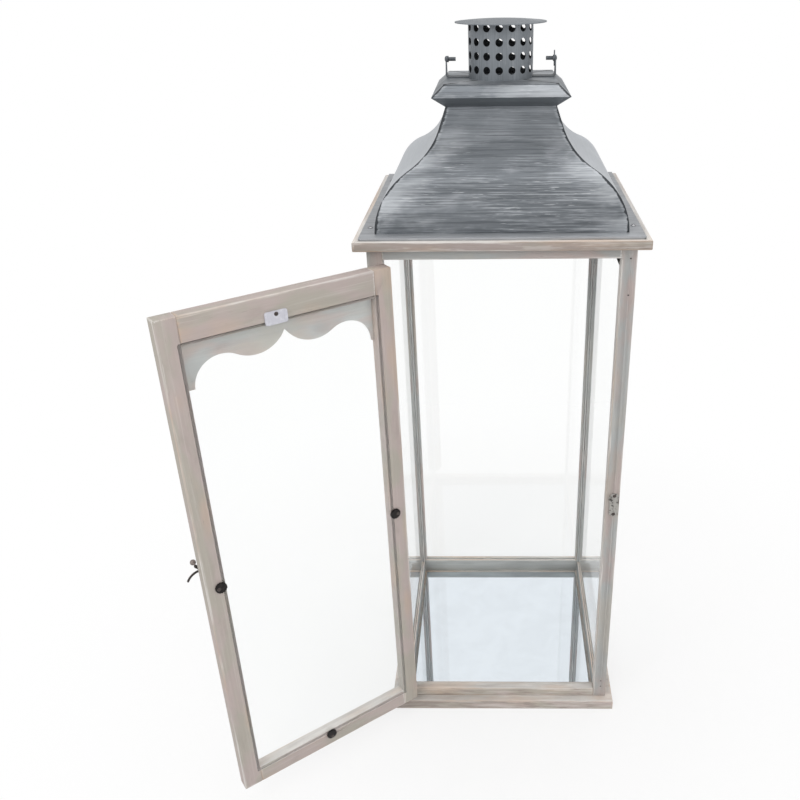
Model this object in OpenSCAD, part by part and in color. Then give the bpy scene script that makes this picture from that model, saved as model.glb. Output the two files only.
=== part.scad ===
// Tall square candle lantern that stands on the floor. A post and rail frame of whitewashed wood
// holds three glass panes and a mirror floor, a glazed door hangs on the front left post, and a
// four-sided ogee roof of sheet metal carries a perforated chimney with a domed cap.
// Millimetres. X runs to the right, Y to the back and Z up, with the door side facing -Y.
// The origin is the centre of the underside of the base board.

/* [Base and top boards] */
// Distance that the base board stands out beyond the posts
base_lip = 11; // [5:0.5:24]
// Thickness of the base board
base_t = 16; // [12:1:24]
// Radius along the upper edge of the base board
base_round = 3; // [1:0.5:5]
// Distance that the top boards stand out beyond the posts
board_lip = 14; // [11:0.5:30]
// Thickness of the top boards
board_t = 11; // [8:1:18]
// Width of each of the four mitred top boards
board_strip_w = 44; // [34:1:60]

/* [Frame] */
// Outer width and depth over the posts
body_w = 314; // [290:1:340]
// Height of the posts
frame_h = 707; // [560:1:820]
// Side of a square post
post_w = 18; // [17:0.5:22]
// Thickness of the back rails; the side rails are as thick as the posts
rail_t = 14; // [12:0.5:16]
// Height of the bottom rails at the sides and the back
bottom_rail_h = 24; // [12:1:30]
// Height of the sill under the door
sill_h = 15; // [10:1:24]
// Depth of the sill and of the rail over the door
sill_t = 15; // [12:0.5:16]
// Height of the four top rails
top_rail_h = 14; // [12:1:28]
// Side of the square glazing beads
bead_w = 4; // [3:0.5:5]

/* [Glass and mirror] */
// Thickness of the window panes
glass_t = 3; // [2:0.5:3.5]
// Distance from the back of the frame to the middle of the back pane
back_glass_inset = 7; // [6:0.5:7.5]
// Distance from the side of the frame to the middle of a side pane
side_glass_inset = 14; // [7:0.5:15]
// Depth of the pane grooves in the posts and rails
groove_d = 6; // [4:0.5:7]
// Free play between a pane and its groove, on each side
glass_play = 0.2; // [0.1:0.05:0.4]
// Gap between the mirror and the lines of the posts
mirror_gap = 4; // [3:0.5:30]
// Thickness of the mirror
mirror_t = 4; // [3:0.5:6]

/* [Door] */
// Angle by which the door stands open
door_open = 143; // [0:1:175]
// Thickness of the door frame
door_t = 17; // [15:0.5:17]
// Gap beside the door, at the hinge edge and at the free edge
door_gap = 3; // [3:0.25:5]
// Gap above and below the door
door_gap_z = 2; // [1:0.25:5]
// Width of the door stile at the hinges, with the lip behind the glass
hinge_stile_w = 22; // [18:0.5:36]
// Width of the door stile at the free edge, with the lip behind the glass
free_stile_w = 24; // [18:0.5:36]
// Height of the top rail of the door, with the lip behind the glass
door_top_rail_h = 33.5; // [26:0.5:48]
// Height of the bottom rail of the door, with the lip behind the glass
door_bottom_rail_h = 24.5; // [20:0.5:36]
// Width of the lip that the glass lies on
rabbet_w = 4; // [3:0.5:7]
// Thickness of the door glass, which lies flush with the inner face
door_glass_t = 3; // [2:0.5:3.5]
// Gap around the edge of the door glass
door_glass_play = 0.4; // [0.2:0.1:1.5]

/* [Scalloped valance] */
// Thickness of the valance
valance_t = 4; // [3:0.5:9]
// Drop from the top rail to the lowest point of the two middle lobes
lobe_drop = 34; // [28:0.5:42]
// Radius of the two middle lobes
lobe_r = 40; // [39:1:48]
// Distance of each lobe from the middle of the scallops
lobe_x = 35.5; // [30:0.5:38]
// Radius of the two outer arches
arch_r = 32.5; // [30:0.5:38]
// Distance of the middle of the scallops from the middle of the door, towards the hinges
valance_shift = 4.5; // [0:0.5:7]
// Width of the foot that runs down beside the hinge stile
valance_foot_w = 2.5; // [1.5:0.5:6]

/* [Glass holders on the door] */
// Radius of the round buttons that hold the glass
button_r = 7; // [6:0.2:8]
// Height of the buttons
button_h = 3; // [2:0.5:5]
// Height above the base underside of the button on the free stile
free_button_z = 369; // [200:1:500]
// Height above the base underside of the button on the hinge stile
hinge_button_z = 374; // [200:1:500]
// Distance from the hinge line to the button on the bottom rail
bottom_button_u = 144; // [80:1:200]
// Width of the clip at the top of the glass
clip_w = 26; // [20:1:34]
// Height of the clip
clip_h = 15; // [13:0.5:18]
// Thickness of the clip
clip_t = 2; // [1.5:0.25:3]
// Distance from the hinge line to the middle of the clip
clip_u = 146; // [100:1:180]

/* [Hinges] */
// Height of a hinge
hinge_h = 45; // [36:1:60]
// Distance from the end of the door to the middle of a hinge
hinge_inset = 88; // [50:1:140]
// Width of a hinge leaf from the barrel line
leaf_w = 15; // [12:0.5:16]
// Thickness of a hinge leaf
leaf_t = 1; // [0.8:0.1:1.2]
// Radius of the hinge barrel
barrel_r = 2.5; // [2:0.1:2.7]
// Radius of the hinge pin
pin_r = 1.2; // [0.8:0.1:1.4]
// Running clearance on the hinge pins and on the rivet of the latch hook
running_gap = 0.05; // [0.02:0.01:0.1]

/* [Latch] */
// Distance of the middle of the latch plate from the free edge of the door
latch_inset = 9; // [8:0.5:10]
// Height of the middle of the latch plate above the base underside
latch_z = 375; // [250:1:500]
// Distance of the middle of the keeper plate below the middle of the latch plate
keeper_drop = 8; // [4:0.5:10]
// Width of the latch and keeper plates
plate_w = 12; // [10:0.5:14]
// Height of the latch and keeper plates
plate_h = 36; // [32:1:44]
// Thickness of the latch and keeper plates
plate_t = 1.2; // [0.8:0.1:2]
// Height of the hook pivot above the middle of its plate
pivot_rise = 6; // [4:0.5:8]
// Radius of the curved hook, along its middle
hook_r = 16.5; // [15:0.5:17]
// Width of the hook
hook_w = 2.2; // [2:0.1:3.2]
// Thickness of the hook
hook_t = 1.5; // [1:0.1:2.5]
// Radius of the knob on the hook
knob_r = 3.5; // [2.5:0.1:4]
// Distance from the hook pivot to the knob
knob_arm = 17; // [14:0.5:20]
// Radius of the stud that the hook drops over
stud_r = 1.8; // [1.2:0.1:2.2]

/* [Roof] */
// Distance of the flange in from the edge of the top boards
flange_step = 6.5; // [3:0.5:10]
// Height of the flange over the top boards
flange_h = 3; // [2.5:0.5:6]
// Thickness of the sheet metal
sheet_t = 1; // [0.6:0.1:1.2]
// Width of the flange outside the foot of the roof
flange_ledge = 17.5; // [14:0.5:22]
// Width of the neck of the roof
neck_w = 131; // [120:1:150]
// Height of the four curved panels
roof_h = 128; // [100:1:160]
// Radius of the round shoulder of the curve
shoulder_r = 72; // [60:1:76]
// Length of the straight neck at the top of the curve
neck_len = 25; // [15:1:40]
// Slope of the neck from the vertical
neck_a = 19; // [10:1:25]
// Widest width of the coronet
coronet_w = 162; // [154:1:190]
// Height of the coronet, up to the flat top
coronet_h = 24; // [18:1:36]
// Height of the widest line of the coronet above its foot
coronet_belt = 12; // [8:0.5:14]
// Width of the flat top
crown_w = 135; // [128:1:150]
// Distance of the roof screws from the middle line, front to back
roof_screw_y = 119; // [80:1:140]

/* [Chimney] */
// Outer radius of the chimney tube
chimney_r = 39.2; // [34:0.2:44]
// Height of the chimney tube
chimney_h = 63; // [60:1:80]
// Radius of the vent holes
vent_r = 4.4; // [3.5:0.1:5]
// Number of vent holes in a row
vent_count = 16; // [12:1:18]
// Number of rows of vent holes
vent_rows = 4; // [2:1:4]
// Height of the lowest row above the flat top
vent_first = 11; // [9:0.5:12]
// Distance between rows
vent_pitch = 15.4; // [12:0.2:15.6]
// Turn of the hole pattern around the tube
vent_turn = -3; // [-11:0.1:11]
// Radius of the cap
cap_r = 55; // [48:0.5:64]
// Rise of the domed cap from its rim to its middle
cap_rise = 3; // [2:0.5:10]

/* [Handle strap] */
// Distance from the middle to the outside of each ear
ear_x = 67; // [60:0.5:67]
// Width of an ear around its bolt
ear_w = 7; // [6.5:0.5:10]
// Height of the bolts above the flat top
ear_h = 21; // [16:0.5:28]
// Width of the strap across the flat top
strap_w = 16; // [12:0.5:24]
// Thickness of the strap
strap_t = 1.5; // [1:0.1:2.5]
// Radius inside the bend at the foot of each ear
bend_r = 3; // [1.5:0.5:5]
// Radius of the handle bolts
bolt_r = 2.5; // [1.5:0.1:2.5]
// Free length of the bolts beyond their nuts
bolt_reach = 8.5; // [5:0.5:9]
// Reach of the nut wings from the bolt axis
wing_reach = 9; // [7:0.5:12]

/* [Hidden] */

wood = "#b8aaa0";
pale_wood = "#c4bcb4";
metal = "#7d8287";
pale_metal = "#a5a7ac";
dark_metal = "#3c3836";
pane = "#dfeaea";

// Widths that follow from the frame
base_w = body_w + 2 * base_lip;
board_w = body_w + 2 * board_lip;
mirror_w = body_w - 2 * post_w - 2 * mirror_gap;
flange_w = board_w - 2 * flange_step;
roof_w = flange_w - 2 * flange_ledge;

// Heights of the main levels
frame_top = base_t + frame_h;
board_top = frame_top + board_t;
flange_top = board_top + flange_h;
neck_z = flange_top + roof_h;
crown_z = neck_z + coronet_h;
plate_top = crown_z + sheet_t;
chimney_top = plate_top + chimney_h;

// Half widths of the frame
body = body_w / 2;
post_in = body - post_w;
back_line = body - back_glass_inset;
side_line = body - side_glass_inset;
groove = glass_t / 2 + glass_play;

// Rails, grooves and the panes that stand in them
bottom_rail_top = base_t + bottom_rail_h;
top_rail_bottom = frame_top - top_rail_h;
pane_low = bottom_rail_top - groove_d + glass_play;
pane_high = top_rail_bottom + groove_d - glass_play;
pane_half = post_in + groove_d - glass_play;

// Size of any cut that has to pass well clear of its piece
over = 1;

// Screws: a domed head on a plain shank, with the same small gap wherever a shank passes
screw_gap = 0.05;
screw_shank_r = 1.1;
screw_head_r = 2.4;
screw_head_h = 1.2;
roof_screw_head_r = 3.2;
roof_screw_head_h = 1.8;
roof_screw_shank_r = 1.6;
roof_screw_depth = 8;
roof_screw_x = (flange_w + roof_w) / 4;

// Door, measured from the hinge line: u runs along the door from the hinge line to the free
// edge and w through it from the hinge line to the inner face
hinge_u = door_gap / 2;
barrel_set = barrel_r;
hinge_x = -post_in + hinge_u;
hinge_y = -body - barrel_set;
door_w = 2 * post_in - 2 * door_gap;
door_low = base_t + sill_h + door_gap_z;
door_high = top_rail_bottom - door_gap_z;
u0 = hinge_u;
u1 = hinge_u + door_w;
w0 = barrel_set;
w1 = barrel_set + door_t;
w_lip = w1 - door_glass_t;
sight_u0 = u0 + hinge_stile_w;
sight_u1 = u1 - free_stile_w;
sight_low = door_low + door_bottom_rail_h;
sight_high = door_high - door_top_rail_h;
rabbet_u0 = sight_u0 - rabbet_w;
rabbet_u1 = sight_u1 + rabbet_w;
rabbet_low = sight_low - rabbet_w;
rabbet_top = sight_high + rabbet_w;

// Hinges sit in shallow mortises in the edge of the door
mortise_d = leaf_t + 0.6;
mortise_play = 0.1;
hinge_z_lower = door_low + hinge_inset;
hinge_z_upper = door_high - hinge_inset;
knuckle_h = hinge_h / 3;
knuckle_gap = 0.1;
pin_head_h = 1;
pin_head_r = (pin_r + barrel_r) / 2;
leaf_screw_w = leaf_w * 0.6;
leaf_screw_z = hinge_h / 3;
leaf_screw_head_r = 1.8;
leaf_screw_head_h = 0.35;
leaf_screw_depth = 8;

// A leaf keeps this far from the barrel wherever the other leaf has its knuckle
leaf_clear = barrel_r + 0.3;

// Latch: the hook lies over the screw heads of both plates and turns on a rivet
plate_round = plate_w * 0.42;
plate_screw_z = plate_h / 2 - 3.5;
plate_screw_depth = 9;
hook_lift = plate_t + screw_head_h + 0.4;
latch_u = u1 - latch_inset;
pivot_z = latch_z + pivot_rise;
pivot_r = 1.5;
pivot_boss_r = 4;
pivot_head_r = 2.8;
pivot_head_h = 1;
hook_centre_u = 7;
hook_centre_z = -10;
hook_start_a = 118;
hook_tip_a = 28;
knob_a = 55;
knob_pad_r = 2;
knob_bar_w = 3;
knob_stem_r = 1.2;
knob_stem_h = 6;

// Keeper: the stud stands inside the curve of the hook
stud_to_hook = 1.05;
stud_arm = hook_r - hook_w / 2 - stud_to_hook - stud_r;
stud_a = 30;
stud_u = latch_u + hook_centre_u + stud_arm * cos(stud_a);
stud_z = pivot_z + hook_centre_z + stud_arm * sin(stud_a);
stud_reach = hook_lift + hook_t + 2.5;
stud_head_r = stud_r + 0.6;
stud_head_h = 1;
stud_boss_r = stud_r + 1.2;
stud_boss_h = plate_t + 0.8;
keeper_x = hinge_x + stud_u + 5;
keeper_z = latch_z - keeper_drop;

// Door stop behind the front right post, in the upper corner of the opening
stop_reach = 6;
stop_grip = 2;
stop_h = 14;
stop_t = 8;

// Brad nails in the face of the front right post
nail_head_r = 1;
nail_head_h = 0.3;
nail_shank_r = 0.6;
nail_depth = 8;
nail_x = post_in + post_w * 0.57;
nail_lows = [20, 31];
nail_highs = [59, 14];

// Glass holders
holder_screw_depth = 8;
clip_round = 2.5;
clip_over_glass = 3.5;
clip_z = rabbet_top + clip_h / 2 - clip_over_glass;
clip_screw_z = rabbet_top + (clip_h - clip_over_glass) * 0.7;
button_on_wood = 1;
free_button_on_wood = 2.5;
button_screw_set = button_r * 0.45;
button_flutes = 14;
button_flute_r = 0.7;
button_places = [
    [rabbet_u1 + free_button_on_wood, free_button_z, 0],
    [rabbet_u0 - button_on_wood, hinge_button_z, 180],
    [bottom_button_u, rabbet_low - button_on_wood, 90]
];

// Valance: the outer arches run smoothly into the lobes
valance_mid = (u0 + u1) / 2 - valance_shift;
lobe_z = sight_high - lobe_drop + lobe_r;
cusp_z = lobe_z - sqrt(lobe_r * lobe_r - lobe_x * lobe_x);
arch_x = valance_mid - sight_u0 - valance_foot_w - arch_r;
arch_span = lobe_r + arch_r;
arch_z = lobe_z - sqrt(arch_span * arch_span - (arch_x - lobe_x) * (arch_x - lobe_x));
touch_x = lobe_x + (arch_x - lobe_x) * lobe_r / arch_span;
touch_z = lobe_z + (arch_z - lobe_z) * lobe_r / arch_span;

// Chimney cap: a slice of a thin sphere that rests on the rim of the tube
cap_sphere_r = (cap_r * cap_r + cap_rise * cap_rise) / (2 * cap_rise);
cap_seat = cap_sphere_r - sqrt(cap_sphere_r * cap_sphere_r - chimney_r * chimney_r);
cap_apex = chimney_top + cap_seat;
crown_hole_r = chimney_r - 3;

// Handle strap and its bolts
strap_gap = 0.3;
ear_in = ear_x - strap_t;
bolt_z = plate_top + ear_h;
bolt_gap = 0.05;
bolt_head_r = 3.2;
bolt_head_h = 1.2;
bolt_end_r = 0.9 * bolt_r;
nut_r = 3.6;
nut_h = 2.2;
wing_t = 1.2;
wing_w = 5;

// Half the width of each band of the roof
roof_half = roof_w / 2;
neck_half = neck_w / 2;
coronet_half = coronet_w / 2;
crown_half = crown_w / 2;
flange_half = flange_w / 2;
flange_in = roof_half - sheet_t - 3;
hem_notch = 2;
coronet_wall = sheet_t * 1.6;

// The roof curve: a round shoulder, a hollow that runs on from it, and a straight neck
shoulder_x = roof_half - shoulder_r;
neck_foot_x = neck_half + neck_len * sin(neck_a);
neck_foot_z = roof_h - neck_len * cos(neck_a);
neck_dx = neck_foot_x - shoulder_x;
neck_out = neck_dx * cos(neck_a) + neck_foot_z * sin(neck_a);
neck_reach2 = neck_dx * neck_dx + neck_foot_z * neck_foot_z;
hollow_r = (neck_reach2 - shoulder_r * shoulder_r) / (2 * (shoulder_r - neck_out));
hollow_x = neck_foot_x + hollow_r * cos(neck_a);
hollow_z = neck_foot_z + hollow_r * sin(neck_a);
touch_a = atan2(hollow_z, hollow_x - shoulder_x);

// Steps around a circle that is rebuilt as a true round
fine = 180;
round = 48;
cap_round = 720;

// Turns a piece of the closed door to where the door stands
module hang_door() {
    translate([hinge_x, hinge_y, 0]) rotate([0, 0, -door_open]) children();
}

// A plain box between two corners
module block(low, high) {
    translate(low) cube(high - low);
}

// A screw with its head on the XY plane and its shank along -Z
module screw(head_r, head_h, shank_r, depth) {
    dome_r = (head_r * head_r + head_h * head_h) / (2 * head_h);
    intersection() {
        translate([0, 0, head_h - dome_r]) sphere(dome_r, $fn = fine);
        cylinder(r = head_r, h = head_h, $fn = round);
    }
    translate([0, 0, -depth]) cylinder(r = shank_r, h = depth, $fn = round);
}

// The hole that such a screw passes through
module screw_hole(shank_r, depth) {
    translate([0, 0, -depth - screw_gap]) {
        cylinder(r = shank_r + screw_gap, h = depth + screw_gap + over, $fn = round);
    }
}

// Wedge with its edge on the Z axis, open towards -Y, that mitres one side of a square ring
module mitre(reach, low, high) {
    translate([0, 0, low]) linear_extrude(high - low) polygon([[0, 0], [-reach, -reach], [reach, -reach]]);
}

// One side of a mitred square ring: a profile of [distance from the middle, height] points
module ring_side(profile, reach, low, high) {
    intersection() {
        rotate([90, 0, -90]) {
            translate([0, 0, -reach]) linear_extrude(2 * reach) polygon(profile);
        }
        mitre(reach, low, high);
    }
}

// ---- Base, rails and posts ----

module base_board() {
    half = base_w / 2;
    color(wood) difference() {
        translate([-half, -half, 0]) cube([base_w, base_w, base_t]);
        for (side = [0 : 90 : 270]) rotate([0, 0, side]) {
            translate([-base_w, -half, base_t]) rotate([90, 0, 90]) linear_extrude(2 * base_w) {
                edge_waste(base_round);
            }
        }
    }
}

// What a round of radius r takes off a square edge at the origin that faces -X and +Y
module edge_waste(r) {
    difference() {
        translate([-over, -r]) square([r + over, r + over]);
        translate([r, -r]) circle(r, $fn = round);
    }
}

module door_sill() {
    color(pale_wood) block([-post_in, -body, base_t], [post_in, -body + sill_t, base_t + sill_h]);
}

// The groove for a pane that stands on a line at the back, between two places along X and two
// heights
module pane_groove(line, left, right, low, high) {
    block([left, line - groove, low], [right, line + groove, high]);
}

// A rail at the back of the frame, with a pane groove along it
module bottom_rail(thick, line) {
    end = post_in + over;
    difference() {
        block([-post_in, body - thick, base_t], [post_in, body, bottom_rail_top]);
        pane_groove(line, -end, end, bottom_rail_top - groove_d, bottom_rail_top + over);
    }
}

module top_rail(thick, line) {
    end = post_in + over;
    difference() {
        block([-post_in, body - thick, top_rail_bottom], [post_in, body, frame_top]);
        pane_groove(line, -end, end, top_rail_bottom - over, top_rail_bottom + groove_d);
    }
}

module bottom_rail_back() {
    color(wood) bottom_rail(rail_t, back_line);
}

module bottom_rail_left() {
    color(wood) rotate([0, 0, 90]) bottom_rail(post_w, side_line);
}

module bottom_rail_right() {
    color(wood) rotate([0, 0, -90]) bottom_rail(post_w, side_line);
}

module top_rail_back() {
    color(wood) top_rail(rail_t, back_line);
}

module top_rail_left() {
    color(wood) rotate([0, 0, 90]) top_rail(post_w, side_line);
}

module top_rail_right() {
    color(wood) rotate([0, 0, -90]) top_rail(post_w, side_line);
}

module top_rail_front() {
    color(wood) block([-post_in, -body, top_rail_bottom], [post_in, -body + sill_t, frame_top]);
}

module post_groove(line) {
    pane_groove(line, post_in - over, post_in + groove_d, base_t - over, frame_top + over);
}

// The post at the right of the back, grooved for the side pane and, if it is asked for, the back pane
module grooved_post(for_back) {
    difference() {
        block([post_in, post_in, base_t], [body, body, frame_top]);
        mirror([1, -1, 0]) post_groove(side_line);
        if (for_back) {
            post_groove(back_line);
        }
    }
}

module post_back_right() {
    color(wood) grooved_post(true);
}

module post_back_left() {
    color(wood) mirror([1, 0, 0]) grooved_post(true);
}

module post_front_right() {
    color(wood) difference() {
        mirror([0, 1, 0]) grooved_post(false);
        at_keeper_screws() screw_hole(screw_shank_r, plate_screw_depth);
        at_brad_nails() screw_hole(nail_shank_r, nail_depth);
    }
}

module post_front_left() {
    color(wood) difference() {
        rotate([0, 0, 180]) grooved_post(false);
        at_frame_leaf_screws() screw_hole(screw_shank_r, leaf_screw_depth);
    }
}

// ---- Mitred top boards ----

// The front board of the ring, without screw holes
module top_board() {
    half = board_w / 2;
    inner = half - board_strip_w;
    board_profile = [[inner, frame_top], [half, frame_top], [half, board_top], [inner, board_top]];
    ring_side(board_profile, half + over, frame_top - over, board_top + over);
}

module drilled_top_board(side) {
    difference() {
        rotate([0, 0, side]) top_board();
        at_roof_screws() screw_hole(roof_screw_shank_r, roof_screw_depth);
    }
}

module top_board_front() {
    color(wood) top_board();
}

module top_board_back() {
    color(wood) rotate([0, 0, 180]) top_board();
}

module top_board_left() {
    color(wood) drilled_top_board(-90);
}

module top_board_right() {
    color(wood) drilled_top_board(90);
}

// ---- Mirror, panes and beads ----

module floor_mirror() {
    half = mirror_w / 2;
    color(pane) block([-half, -half, base_t], [half, half, base_t + mirror_t]);
}

// A pane that stands in its grooves on a line at the back
module window_pane(line) {
    block([-pane_half, line - glass_t / 2, pane_low], [pane_half, line + glass_t / 2, pane_high]);
}

module glass_back() {
    color(pane, 0.4) window_pane(back_line);
}

module glass_left() {
    color(pane, 0.4) rotate([0, 0, 90]) window_pane(side_line);
}

module glass_right() {
    color(pane, 0.4) rotate([0, 0, -90]) window_pane(side_line);
}

// Upright beads in the two back corners, against the back pane
module glazing_beads() {
    pane_face = back_line - glass_t / 2;
    low = [post_in - bead_w, pane_face - bead_w, bottom_rail_top];
    high = [post_in, pane_face, top_rail_bottom];
    color(pale_wood) for (side = [0, 1]) mirror([side, 0, 0]) block(low, high);
}

// ---- Door stop and nails on the front right post ----

module door_stop() {
    corner = [post_in + stop_grip, top_rail_bottom];
    stop_outline = [
        corner, [post_in - stop_reach, top_rail_bottom],
        [post_in, top_rail_bottom - stop_h], [post_in + stop_grip, top_rail_bottom - stop_h]
    ];
    color(dark_metal) translate([0, -post_in + stop_t, 0]) rotate([90, 0, 0]) {
        linear_extrude(stop_t) polygon(stop_outline);
    }
}

module at_brad_nails() {
    for (rise = nail_lows) translate([nail_x, -body, base_t + rise]) rotate([90, 0, 0]) children();
    for (drop = nail_highs) translate([nail_x, -body, frame_top - drop]) rotate([90, 0, 0]) children();
}

module brad_nails() {
    color(dark_metal) at_brad_nails() screw(nail_head_r, nail_head_h, nail_shank_r, nail_depth);
}

// ---- Roof ----

module at_roof_screws() {
    for (x = [-roof_screw_x, roof_screw_x], y = [-roof_screw_y, roof_screw_y]) {
        translate([x, y, flange_top]) children();
    }
}

// Square sheet with its rim turned down onto the boards and a square opening under the roof
module roof_flange() {
    rim_in = flange_half - sheet_t;
    sheet_low = flange_top - sheet_t;
    notch_in = flange_half - hem_notch;
    notch_out = flange_half + over;
    color(pale_metal) difference() {
        block([-flange_half, -flange_half, board_top], [flange_half, flange_half, flange_top]);
        block([-rim_in, -rim_in, board_top - over], [rim_in, rim_in, sheet_low]);
        block([-flange_in, -flange_in, board_top], [flange_in, flange_in, flange_top + over]);
        for (side = [0 : 90 : 270]) rotate([0, 0, side]) {
            block([notch_in, notch_in, board_top - over], [notch_out, notch_out, sheet_low]);
        }
        at_roof_screws() screw_hole(roof_screw_shank_r, roof_screw_depth);
    }
}

module roof_screws() {
    color(pale_metal) at_roof_screws() {
        screw(roof_screw_head_r, roof_screw_head_h, roof_screw_shank_r, roof_screw_depth);
    }
}

// The area between the middle of the roof and its curve, set in and run on past both ends
module ogee_area(inset, extra) {
    r = shoulder_r - inset;
    foot_x = neck_foot_x - inset * cos(neck_a);
    foot_z = neck_foot_z - inset * sin(neck_a);
    head_x = neck_half - inset * cos(neck_a) - extra * sin(neck_a);
    head_z = roof_h - inset * sin(neck_a) + (extra + inset) * cos(neck_a);
    difference() {
        union() {
            intersection() {
                translate([shoulder_x, 0]) circle(r, $fn = fine);
                translate([0, -extra]) square([roof_w, roof_h + extra]);
            }
            intersection() {
                polygon([
                    [0, -extra], [shoulder_x, -extra],
                    [shoulder_x + r * cos(touch_a), r * sin(touch_a)],
                    [foot_x, foot_z], [head_x - inset * sin(neck_a), head_z], [0, head_z]
                ]);
                translate([0, -extra]) square([roof_w, roof_h + 2 * extra]);
            }
        }
        translate([hollow_x, hollow_z]) circle(hollow_r + inset, $fn = fine);
    }
}

// The front panel, mitred to its neighbours
module roof_panel() {
    intersection() {
        translate([roof_w, 0, flange_top]) rotate([90, 0, -90]) linear_extrude(2 * roof_w) {
            difference() {
                ogee_area(0, 0);
                ogee_area(sheet_t, over);
            }
        }
        mitre(roof_w, flange_top - over, neck_z + over);
    }
}

module roof_panel_front() {
    color(metal) roof_panel();
}

module roof_panel_right() {
    color(pale_metal) rotate([0, 0, 90]) roof_panel();
}

module roof_panel_back() {
    color(metal) rotate([0, 0, 180]) roof_panel();
}

module roof_panel_left() {
    color(pale_metal) rotate([0, 0, -90]) roof_panel();
}

// A square body with sloping sides, from the profile of its right half
module square_body(profile, reach) {
    whole = concat(profile, [for (i = [len(profile) - 1 : -1 : 0]) [-profile[i][0], profile[i][1]]]);
    intersection() {
        translate([0, reach, neck_z]) rotate([90, 0, 0]) linear_extrude(2 * reach) polygon(whole);
        translate([-reach, 0, neck_z]) rotate([90, 0, 90]) linear_extrude(2 * reach) polygon(whole);
    }
}

module coronet() {
    in_foot = neck_half - coronet_wall;
    in_belt = coronet_half - coronet_wall;
    in_head = crown_half - coronet_wall;
    outer_profile = [[neck_half, 0], [coronet_half, coronet_belt], [crown_half, coronet_h]];
    inner_profile = [
        [in_foot, -over], [in_foot, 0], [in_belt, coronet_belt],
        [in_head, coronet_h], [in_head, coronet_h + over]
    ];
    color(metal) difference() {
        square_body(outer_profile, coronet_half + over);
        square_body(inner_profile, coronet_half + over);
    }
}

module crown_plate() {
    color(metal) difference() {
        block([-crown_half, -crown_half, crown_z], [crown_half, crown_half, plate_top]);
        translate([0, 0, crown_z - over]) cylinder(r = crown_hole_r, h = sheet_t + 2 * over, $fn = fine);
    }
}

// ---- Chimney ----

module chimney_tube() {
    vent_in = chimney_r - 5;
    notch_half = strap_w / 2 + strap_gap;
    notch_top = plate_top + strap_t + strap_gap;
    color(metal) difference() {
        translate([0, 0, plate_top]) cylinder(r = chimney_r, h = chimney_h, $fn = fine);
        translate([0, 0, plate_top - over]) {
            cylinder(r = chimney_r - sheet_t, h = chimney_h + 2 * over, $fn = fine);
        }
        block([-chimney_r - over, -notch_half, plate_top - over], [chimney_r + over, notch_half, notch_top]);
        for (row = [0 : vent_rows - 1], k = [0 : vent_count - 1]) {
            rotate([0, 0, vent_turn + k * 360 / vent_count]) {
                translate([0, -vent_in, plate_top + vent_first + row * vent_pitch]) {
                    rotate([90, 0, 0]) cylinder(r = vent_r, h = chimney_r - vent_in + over, $fn = round);
                }
            }
        }
    }
}

module chimney_cap() {
    color(metal) rotate_extrude($fn = fine) intersection() {
        difference() {
            translate([0, cap_apex - cap_sphere_r]) circle(cap_sphere_r + sheet_t, $fn = cap_round);
            translate([0, cap_apex - cap_sphere_r]) circle(cap_sphere_r, $fn = cap_round);
        }
        translate([0, cap_apex - 2 * cap_rise]) square([cap_r, 3 * cap_rise]);
    }
}

// ---- Handle strap, bolts and wing nuts ----

// A flat bottomed tub seen from the front, with its two lower corners rounded
module tub(half, low, high, r) {
    translate([-half, low + r]) square([2 * half, high - low - r]);
    translate([-half + r, low]) square([2 * half - 2 * r, high - low]);
    for (side = [-1, 1]) translate([side * (half - r), low + r]) circle(r, $fn = round);
}

// The strap seen from the side: as wide as itself at the foot and narrow around the bolt
module ear_outline() {
    taper_low = plate_top + 6;
    taper_high = bolt_z - 5;
    polygon([
        [-strap_w / 2, plate_top - over], [strap_w / 2, plate_top - over], [strap_w / 2, taper_low],
        [ear_w / 2, taper_high], [ear_w / 2, bolt_z], [-ear_w / 2, bolt_z],
        [-ear_w / 2, taper_high], [-strap_w / 2, taper_low]
    ]);
    translate([0, bolt_z]) circle(ear_w / 2, $fn = round);
}

module at_handle_bolt(side) {
    translate([side * ear_x, 0, bolt_z]) rotate([0, side * 90, 0]) children();
}

module handle_strap() {
    high = bolt_z + ear_w;
    color(dark_metal) difference() {
        intersection() {
            translate([0, strap_w, 0]) rotate([90, 0, 0]) linear_extrude(2 * strap_w) {
                difference() {
                    tub(ear_x, plate_top, high, bend_r + strap_t);
                    tub(ear_in, plate_top + strap_t, high + over, bend_r);
                }
            }
            translate([-ear_x - over, 0, 0]) rotate([90, 0, 90]) linear_extrude(2 * ear_x + 2 * over) {
                ear_outline();
            }
        }
        for (side = [-1, 1]) at_handle_bolt(side) {
            translate([0, 0, -strap_t - over]) {
                cylinder(r = bolt_r + bolt_gap, h = strap_t + 2 * over, $fn = round);
            }
        }
    }
}

// A bolt whose free end, beyond the nut, is turned down to a smooth journal
module handle_bolt(side) {
    grip = strap_t + nut_h;
    at_handle_bolt(side) {
        screw(bolt_head_r, bolt_head_h, bolt_r, grip);
        translate([0, 0, -grip - bolt_reach]) cylinder(r = bolt_end_r, h = bolt_reach, $fn = round);
    }
}

module handle_bolt_left() {
    color(dark_metal) handle_bolt(-1);
}

module handle_bolt_right() {
    color(dark_metal) handle_bolt(1);
}

// A wing nut with its seat on the XY plane
module wing_nut() {
    tip = wing_reach - wing_w / 2;
    difference() {
        union() {
            cylinder(r = nut_r, h = nut_h, $fn = round);
            linear_extrude(wing_t) {
                square([2 * tip, wing_w], center = true);
                for (side = [-1, 1]) translate([side * tip, 0]) circle(wing_w / 2, $fn = round);
            }
        }
        translate([0, 0, -over]) cylinder(r = bolt_r + bolt_gap, h = nut_h + 2 * over, $fn = round);
    }
}

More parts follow.
